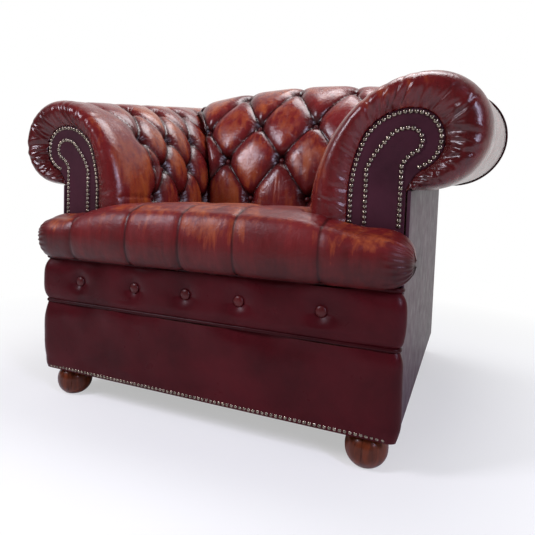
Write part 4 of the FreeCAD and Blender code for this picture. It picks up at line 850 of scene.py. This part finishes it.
def seat_tufting(runs, path):
    layout = Tufting()
    flat = ROLL_STEPS + 2
    facing, first, second = (float(np.interp(FACING_FRONT + behind, path[flat:, 0], runs[flat:]))
                             for behind in (-0.004, 0.095, 0.205))
    inner = [x for x in PLEATS if abs(x) < HALF_SEAT_GAP]
    for x in PLEATS:
        if x in inner:
            layout.button(x, first)
            layout.fold((x, 0.0), (x, first - 0.05), 0.0060, 0.008, 0.020)
            layout.fold((x, first - 0.05), (x, first), 0.008, 0.017, 0.036)
        else:
            layout.fold((x, 0.0), (x, facing), 0.0060, 0.007, 0.020)
    for left, right in zip(inner, inner[1:]):
        middle = (left + right) / 2
        layout.button(middle, second)
        for near in (left, right):
            layout.fold((near, first), (middle, second), 0.015)
        layout.fold((middle, second), (middle, runs[-1]), 0.015, 0.010)
    for near, aside in ((inner[0], -0.060), (inner[-1], 0.060)):
        layout.fold((near, first), (near + aside, second), 0.015, 0.008)
    return layout


class ARMCHAIR_OT_seat(bpy.types.Operator):
    """Covers the seat in one piece, from the seam under its front roll to the inside back"""
    bl_idname = "armchair.seat"
    bl_label = "Seat cover"

    def execute(self, context):
        path, runs = seat_profile()
        layout = seat_tufting(runs, path)
        middle_z = SEAT_SEAM + 0.40 * (SEAT_TOP - SEAT_SEAM)
        core_y = FACING_FRONT - 0.030
        crown_rise, crown_half = 0.013, 0.33
        wing_drop = 0.016  # how much lower the front roll lies in front of the facings
        squareness = 2.2  # of the front roll's ends

        def on_path(run):
            return [np.interp(run, runs, path[:, axis]) for axis in (0, 1)]

        def shape(across, along):
            x = (2.0 * across - 1.0) * HALF_SEAT
            run = runs[-1] * along
            y, z = on_path(run)
            ahead, climb = (after - before for after, before in zip(on_path(run + 0.002), on_path(run - 0.002)))
            size = np.hypot(ahead, climb) + 1e-9
            drop, wear_and_painted_light, beside = layout.measure(x, run)
            beside_arm = np.where(y < FACING_FRONT + 0.001, 1.0, HALF_SEAT_GAP - np.abs(x))
            drop = drop + 0.022 * round_fall(beside_arm / 0.030)
            behind = np.clip(FACING_FRONT - y, 0.0, 1.0)
            wing = np.abs(x) > HALF_SEAT_GAP - 0.004
            drop = drop + np.where(wing, 0.020 * round_fall(behind / 0.026), 0.0)
            moved_y = y + climb / size * drop
            moved_z = z - ahead / size * drop
            crown = crown_rise * np.clip(1.0 - (x / crown_half) ** 2, 0.0, 1.0)
            crown = crown - wing_drop * smooth_step(np.abs(x), 0.20, 0.34) * (y < FACING_FRONT)
            moved_z = moved_z + crown * smooth_step(z, middle_z, SEAT_TOP)
            end = np.clip((np.abs(x) - (HALF_SEAT - SEAT_END)) / SEAT_END, 0.0, 1.0)
            keep = (1.0 - end ** squareness) ** (1.0 / squareness)
            moved_z = middle_z + (moved_z - middle_z) * (0.10 + 0.90 * keep)
            moved_y = core_y + (moved_y - core_y) * (0.15 + 0.85 * keep)
            pucker = np.sin(run * 460.0 + 30.0 * np.abs(x)) * smooth_step(end, 0.15, 0.6) * (run < 0.16)
            moved_y = moved_y + 0.0016 * pucker
            # Painted shade: the lower half of the front roll is painted darker, and the leather is also darker
            # towards the roll's rounded ends.
            wear_and_painted_light = wear_and_painted_light * (0.90 - 0.40 * smooth_step(middle_z + 0.05 - z, 0.0, 0.07) * (y < FACING_FRONT))
            return np.stack([x, moved_y, moved_z], axis=1), np.clip(wear_and_painted_light - 0.3 * end, 0.0, 1.0), beside

        bm = shaped_sheet(220, 150, shape)
        hidden = [vert for vert in bm.verts
                  if abs(vert.co.x) > HALF_SEAT_GAP - 0.001 and vert.co.y > FACING_FRONT + 0.001]
        bmesh.ops.delete(bm, geom=hidden, context="VERTS")
        faced_out(bm, (0.0, -0.2, 0.35))
        stuffed(piece("seat_cover", bm, "seat_leather", "inside_leather", "seat_pad", "seat_front_roll"))
        return {"FINISHED"}


# Borders across the front.

BORDER_HALF = 0.399
BORDER_CORNER = 0.016
BORDER_RIPPLE = 0.0044


def border_shape(low, high, layout, puff, corner, seed):
    """A border that turns both front corners, swelling a little between its seams."""
    straight = BORDER_HALF - BORDER_CORNER

    def shape(across, along):
        run = (across - 0.5) * (2 * straight + math.pi * BORDER_CORNER)
        turn = np.clip((np.abs(run) - straight) / BORDER_CORNER, 0.0, QUARTER)
        sign = np.sign(run)
        x = np.clip(run, -straight, straight) + sign * BORDER_CORNER * np.sin(turn)
        y = BORDER_FRONT + BORDER_CORNER * (1.0 - np.cos(turn))
        z = low + (high - low) * along
        drop, wear_and_painted_light, beside = layout.measure(x, z)
        tuck = 0.004 * smooth_step(turn, 1.15, QUARTER)
        swell = puff * (1.0 - (2.0 * along - 1.0) ** 4) * (1.0 + corner * smooth_step(np.abs(x), 0.30, 0.40))
        ripple = np.array([noise.noise(Vector((px * 9.0 + seed, 0.0, pz * 16.0))) for px, pz in zip(x, z)])
        near_seam = (2.0 * along - 1.0) ** 2
        ripple *= BORDER_RIPPLE * smooth_step(along, 0.05, 0.20)
        drop = drop - swell + ripple * (0.35 + near_seam * (1.0 + along))
        places = [x - sign * np.sin(turn) * (drop + tuck), y + np.cos(turn) * drop + 0.5 * tuck, z]
        return np.stack(places, axis=1), wear_and_painted_light, beside
    return shape


class ARMCHAIR_OT_borders(bpy.types.Operator):
    """Makes the buttoned upper border and the plain lower border across the front"""
    bl_idname = "armchair.borders"
    bl_label = "Front borders"

    def execute(self, context):
        buttoned = Tufting()
        for x in PLEATS:
            buttoned.button(x, 0.268)
            buttoned.fold((x - 0.020, 0.262), (x + 0.022, 0.264), 0.0030, reach=0.034)
        bm = shaped_sheet(330, 40, border_shape(0.2223, 0.3137, buttoned, 0.0045, 1.1, 3.0))
        faced_out(bm, (0.0, 0.0, 0.27))
        upper = piece("upper_border_cover", bm, "border_leather", "border_leather", "upper_border")
        bm = shaped_sheet(200, 40, border_shape(0.0603, 0.2137, Tufting(), 0.003, 1.6, 11.0))
        faced_out(bm, (0.0, 0.0, 0.14))
        lower = piece("lower_border_cover", bm, "border_leather", "border_leather", "lower_border")
        return {"FINISHED"}


# Flat covers.

def flat_board(outline, thickness, place, bevel, turn=0.0, side=1):
    """A board with softened edges, extruded from an outline of (across, up) points, turned about z and placed."""
    bm = bmesh.new()
    face = bm.faces.new([bm.verts.new((across, 0.0, up)) for across, up in outline])
    grown = bmesh.ops.extrude_face_region(bm, geom=[face])
    moved = [item for item in grown["geom"] if isinstance(item, bmesh.types.BMVert)]
    bmesh.ops.translate(bm, vec=(0.0, thickness, 0.0), verts=moved)
    bmesh.ops.recalc_face_normals(bm, faces=bm.faces)
    rim = [edge for edge in bm.edges
           if len(edge.link_faces) == 2 and abs(edge.verts[0].co.y - edge.verts[1].co.y) < 1e-6]
    bmesh.ops.bevel(bm, geom=rim, offset=bevel, offset_type="OFFSET", segments=3, profile=0.5,
                    affect="EDGES", clamp_overlap=True, material=-1)
    bmesh.ops.rotate(bm, cent=(0, 0, 0), matrix=Matrix.Rotation(turn, 3, "Z"), verts=bm.verts)
    bmesh.ops.translate(bm, vec=place, verts=bm.verts)
    mirrored(bm, side)
    bmesh.ops.recalc_face_normals(bm, faces=bm.faces)
    return bm


class ARMCHAIR_OT_facings(bpy.types.Operator):
    """Makes the scroll facings and their raised tongues"""
    bl_idname = "armchair.facings"
    bl_label = "Scroll facings"

    def execute(self, context):
        for side, name in SIDES:
            for outline, label, node, front, thickness in (
                    (FACING_OUTLINE, "facing_cover", "arm_facing", FACING_FRONT, 0.008),
                    (TONGUE_OUTLINE, "tongue_cover", "facing_tongue", FACING_FRONT - 0.0015, 0.0017)):
                bevel = min(sizes().seam_bevel, thickness * 0.45)
                bm = flat_board(outline_points(outline), thickness, (0.0, front, 0.0), bevel, side=side)
                piece(f"{label}_{name}", bm, "facing_leather", "facing_leather", f"{node}_{name}", smooth=False)
        return {"FINISHED"}


class ARMCHAIR_OT_outside(bpy.types.Operator):
    """Makes the flat outside covers of the arms and the back"""
    bl_idname = "armchair.outside"
    bl_label = "Outside covers"

    def execute(self, context):
        bevel = sizes().seam_bevel
        half_base, base_front = 0.397, -0.3655
        _, front_z, front_radius = roll_at(FACING_FRONT)
        _, rear_z, rear_radius = roll_at(BACK_INSIDE)
        for side, name in SIDES:
            node = f"outside_arm_{name}"
            low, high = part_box(node)
            outline = [(base_front, BASE_BOTTOM), (BACK_INSIDE, BASE_BOTTOM), (BACK_INSIDE, rear_z - rear_radius),
                       (FACING_FRONT, front_z - front_radius), (FACING_FRONT, SEAT_SEAM + 0.050),
                       (base_front, SEAT_SEAM + 0.036)]
            bm = flat_board(outline, high.x - low.x, (high.x, 0.0, 0.0), bevel, QUARTER)
            piece(f"outside_arm_cover_{name}", bm, "outside_leather", "outside_leather", node, smooth=False)
        x, z, lobe = roll_at(FACING_FRONT + ROLL_LENGTH)
        corners = [(-half_base, BASE_BOTTOM, None), (half_base, BASE_BOTTOM, None), (half_base, z - lobe, None),
                   (x, z - lobe, None), (x + lobe, z, lobe), (x, z + lobe, lobe),
                   (-x, z + lobe, None), (-x - lobe, z, lobe), (-x, z - lobe, lobe), (-half_base, z - lobe, None)]
        bm = flat_board(outline_points(corners), 0.006, (0.0, BACK_INSIDE, 0.0), bevel)
        piece("outside_back_cover", bm, "outside_leather", "outside_leather", "outside_back", smooth=False)
        return {"FINISHED"}


# Buttons and nails.

def islands_of(node):
    """Middle of each separate solid in a frame node, with its greatest y."""
    bm = bmesh.new()
    bm.from_mesh(NODES[node].data)
    bmesh.ops.remove_doubles(bm, verts=bm.verts, dist=1e-6)
    seen = set()
    found = []
    for start in bm.verts:
        if start in seen:
            continue
        stack, group = [start], []
        seen.add(start)
        while stack:
            vert = stack.pop()
            group.append(vert.co.copy())
            for edge in vert.link_edges:
                other = edge.other_vert(vert)
                if other not in seen:
                    seen.add(other)
                    stack.append(other)
        low, high = (Vector([most(point[axis] for point in group) for axis in range(3)]) for most in (min, max))
        found.append(((low + high) / 2, high.y))
    bm.free()
    return found


def domes(spots, radius, rise, segments, rings):
    """Domed heads at (place, outward direction, size share)."""
    bm = bmesh.new()
    for place, outwards, share in spots:
        turn = outwards.to_track_quat("Z", "Y").to_matrix().to_4x4()
        grown = bmesh.ops.create_uvsphere(bm, u_segments=segments, v_segments=rings * 2, radius=1.0)
        head = grown["verts"]
        bmesh.ops.delete(bm, geom=[vert for vert in head if vert.co.z < -0.15], context="VERTS")
        head = [vert for vert in head if vert.is_valid]
        stretch = Matrix.Diagonal((radius * share, radius * share, rise * share, 1.0))
        bmesh.ops.transform(bm, matrix=Matrix.Translation(place) @ turn @ stretch, verts=head)
    return bm


def nails_below(spots, pitch=0.0092, more=3):
    """Carries the rows of nails on down the facings, to where the seat hides them."""
    lowest = min(place.z for place, tilt, share in spots)
    return [(place - Vector((0.0, 0.0, pitch * number)), tilt, share) for place, tilt, share in spots
            if place.z < lowest + 0.75 * pitch for number in range(1, more + 1)]


class ARMCHAIR_OT_nails(bpy.types.Operator):
    """Sets the antiqued nails of the facings and of the base's lower edge"""
    bl_idname = "armchair.nails"
    bl_label = "Upholstery nails"

    def execute(self, context):
        rng = np.random.default_rng(11)
        for node, share in (("facing_nails", 1.0), ("base_nails", 0.85)):
            spots = []
            for middle, rear in islands_of(node):
                tilt = Vector((rng.uniform(-0.10, 0.10), -1.0, rng.uniform(-0.10, 0.10))).normalized()
                spots.append((Vector((middle.x, rear, middle.z)), tilt, rng.uniform(0.94, 1.04)))
            if node == "facing_nails":
                spots += nails_below(spots)
            bm = domes(spots, sizes().nail_radius * share, sizes().nail_rise * share, 10, 3)
            piece(f"{node}_heads", bm, "antique_brass", "nail_brass", node)
        return {"FINISHED"}


def looking_out(node, place, arm_reach=0.21):
    """Direction in which a button of a pad looks."""
    if node == "seat_buttons":
        return Vector((0, 0, 1))
    on_back = node == "back_buttons"
    centre_x, centre_z, radius = roll_at(place.y)
    reach, rise = (BACK_REACH, BACK_RISE) if on_back else (arm_reach, centre_z + radius - SPRINGLINE)
    angle = math.asin(min(0.98, (place.z - SPRINGLINE) / rise))
    behind, height, aside, up = leaning(angle, reach, rise)
    return Vector((0, aside, up)) if on_back else Vector((math.copysign(aside, -place.x), 0, up))


class ARMCHAIR_OT_buttons(bpy.types.Operator):
    """Adds the leather-covered buttons of the pads and the upper border"""
    bl_idname = "armchair.buttons"
    bl_label = "Buttons"

    def execute(self, context):
        sunk = 0.002
        radius = sizes().button_radius
        for node in ("arm_buttons_left", "arm_buttons_right", "back_buttons", "seat_buttons"):
            spots = []
            for middle, rear in islands_of(node):
                outwards = looking_out(node, middle)
                spots.append((middle - outwards * sunk, outwards, 1.0))
            piece(f"{node}_covered", domes(spots, radius, radius * 0.62, 20, 6), "button_leather",
                  "button_leather", node)
        radius = sizes().border_button_radius
        spots = [(Vector((middle.x, rear - sunk, middle.z)), Vector((0, -1, 0)), 1.0)
                 for middle, rear in islands_of("border_buttons")]
        piece("border_buttons_covered", domes(spots, radius, radius * 0.40, 24, 7), "button_leather",
              "button_leather", "border_buttons")
        return {"FINISHED"}


# How the names of the frame's own parts start, the first that fits being taken, and their finishes.
FRAME_FINISHES = {
    "foot_bolts": "zinc", "foot_inserts": "insert_brass", "foot_": "stained_wood",
    "seat_springs": "spring_steel", "spring_clips": "zinc", "seat_hessian": "hessian",
    "arm_webbing": "webbing", "back_webbing": "webbing", "dust_cover": "dust_cloth",
    "border_piping": "piping_leather", "seat_piping": "piping_leather", "back_piping": "piping_leather",
    "": "sawn_timber",
}
SMOOTH_PARTS = ("foot_", "border_piping", "seat_piping", "back_piping")


class ARMCHAIR_OT_frame_finish(bpy.types.Operator):
    """Gives the frame's own parts their wood, metal, cloth and piping finishes"""
    bl_idname = "armchair.frame_finish"
    bl_label = "Frame finishes"

    def execute(self, context):
        for name, node in NODES.items():
            if node.hide_render:
                continue
            chosen = next(value for start, value in FRAME_FINISHES.items() if name.startswith(start))
            node.data.materials.clear()
            node.data.materials.append(material(chosen))
            for polygon in node.data.polygons:
                polygon.use_smooth = name.startswith(SMOOTH_PARTS)
        return {"FINISHED"}


# Each lamp's name, place, target, width, height, power and colour.
LAMPS = (
    ("key", (-1.7, -1.9, 2.1), (0.0, -0.1, 0.45), 0.6, 1.1, 60.0, (0.90, 0.87, 1.0)),
    ("fill", (2.2, -1.5, 1.6), (0.1, -0.1, 0.45), 0.5, 1.3, 40.0, (0.72, 0.72, 1.0)),
    ("top", (0.2, 0.5, 2.6), (0.0, 0.0, 0.5), 1.4, 0.9, 36.0, (0.97, 0.97, 1.0)),
)
CAMERA_PLACE = (0.4891, -1.1465, 0.4453)
CAMERA_YAW, CAMERA_PITCH, CAMERA_ROLL = (math.radians(angle) for angle in (23.321, 3.352, 1.958))


class ARMCHAIR_OT_stage(bpy.types.Operator):
    """Sets the pale floor, the soft studio lights and the camera"""
    bl_idname = "armchair.stage"
    bl_label = "Stage"

    def execute(self, context):
        scene = context.scene
        scene.view_settings.view_transform = "Standard"
        bm = bmesh.new()
        bmesh.ops.create_grid(bm, x_segments=2, y_segments=2, size=14.0)
        mesh = bpy.data.meshes.new("floor")
        bm.to_mesh(mesh)
        bm.free()
        floor = bpy.data.objects.new("floor", mesh)
        scene.collection.objects.link(floor)
        mesh.materials.append(pale_floor())

        world = bpy.data.worlds.new("studio")
        world.use_nodes = True
        world.node_tree.nodes.clear()
        sky = Graph(world.node_tree)
        strength = sky.remap(sky.add("LightPath").outputs["Is Glossy Ray"], 0.0, 1.0, 0.28, 0.06)
        soft = sky.add("Background", {"Color": (0.95, 0.97, 1.0), "Strength": strength})
        white = sky.add("Background", {"Color": (1.0, 1.0, 1.0)})
        mix = sky.add("MixShader", {0: seen_rays(sky, 0.0, 0.4), 1: soft.outputs[0], 2: white.outputs[0]})
        sky.add("OutputWorld", {"Surface": mix.outputs[0]})
        scene.world = world

        for name, place, target, width, height, power, tint in LAMPS:
            lamp = bpy.data.lights.new(name, "AREA")
            lamp.shape = "RECTANGLE"
            lamp.size, lamp.size_y = width, height
            lamp.energy = power
            lamp.color = tint
            holder = bpy.data.objects.new(name, lamp)
            holder.location = place
            holder.rotation_euler = (Vector(target) - Vector(place)).to_track_quat("-Z", "Y").to_euler()
            scene.collection.objects.link(holder)

        lens = bpy.data.cameras.new("camera")
        lens.lens = 31.0
        lens.sensor_width = 36.0
        lens.shift_x, lens.shift_y = -0.0037, -0.0606
        lens.clip_start = 0.05
        camera = bpy.data.objects.new("camera", lens)
        aim = Euler((QUARTER - CAMERA_PITCH, 0.0, CAMERA_YAW)).to_matrix().to_4x4()
        camera.matrix_world = Matrix.Translation(CAMERA_PLACE) @ aim @ Matrix.Rotation(CAMERA_ROLL, 4, "Z")
        scene.collection.objects.link(camera)
        scene.camera = camera
        return {"FINISHED"}


class ARMCHAIR_PT_panel(bpy.types.Panel):
    bl_idname = "ARMCHAIR_PT_panel"
    bl_label = "Chesterfield armchair"
    bl_space_type = "VIEW_3D"
    bl_region_type = "UI"
    bl_category = "Armchair"

    def draw(self, context):
        column = self.layout.column()
        for group in (context.scene.armchair_sizes, context.scene.armchair_finish):
            for name in group.__annotations__:
                column.prop(group, name)
        for operator in OPERATORS:
            column.operator(operator.bl_idname)


OPERATORS = (
    ARMCHAIR_OT_stage,
    ARMCHAIR_OT_arms,
    ARMCHAIR_OT_back,
    ARMCHAIR_OT_seat,
    ARMCHAIR_OT_borders,
    ARMCHAIR_OT_facings,
    ARMCHAIR_OT_outside,
    ARMCHAIR_OT_nails,
    ARMCHAIR_OT_buttons,
    ARMCHAIR_OT_frame_finish,
)
CLASSES = (ArmchairSizes, ArmchairFinish, *OPERATORS, ARMCHAIR_PT_panel)


def register():
    for item in CLASSES:
        bpy.utils.register_class(item)
    bpy.types.Scene.armchair_sizes = bpy.props.PointerProperty(type=ArmchairSizes)
    bpy.types.Scene.armchair_finish = bpy.props.PointerProperty(type=ArmchairFinish)


def unregister():
    del bpy.types.Scene.armchair_finish
    del bpy.types.Scene.armchair_sizes
    for item in reversed(CLASSES):
        bpy.utils.unregister_class(item)


def main():
    register()
    bpy.ops.armchair.stage()
    bpy.ops.armchair.arms()
    bpy.ops.armchair.back()
    bpy.ops.armchair.seat()
    bpy.ops.armchair.borders()
    bpy.ops.armchair.facings()
    bpy.ops.armchair.outside()
    bpy.ops.armchair.nails()
    bpy.ops.armchair.buttons()
    bpy.ops.armchair.frame_finish()


if __name__ == "__main__":
    main()
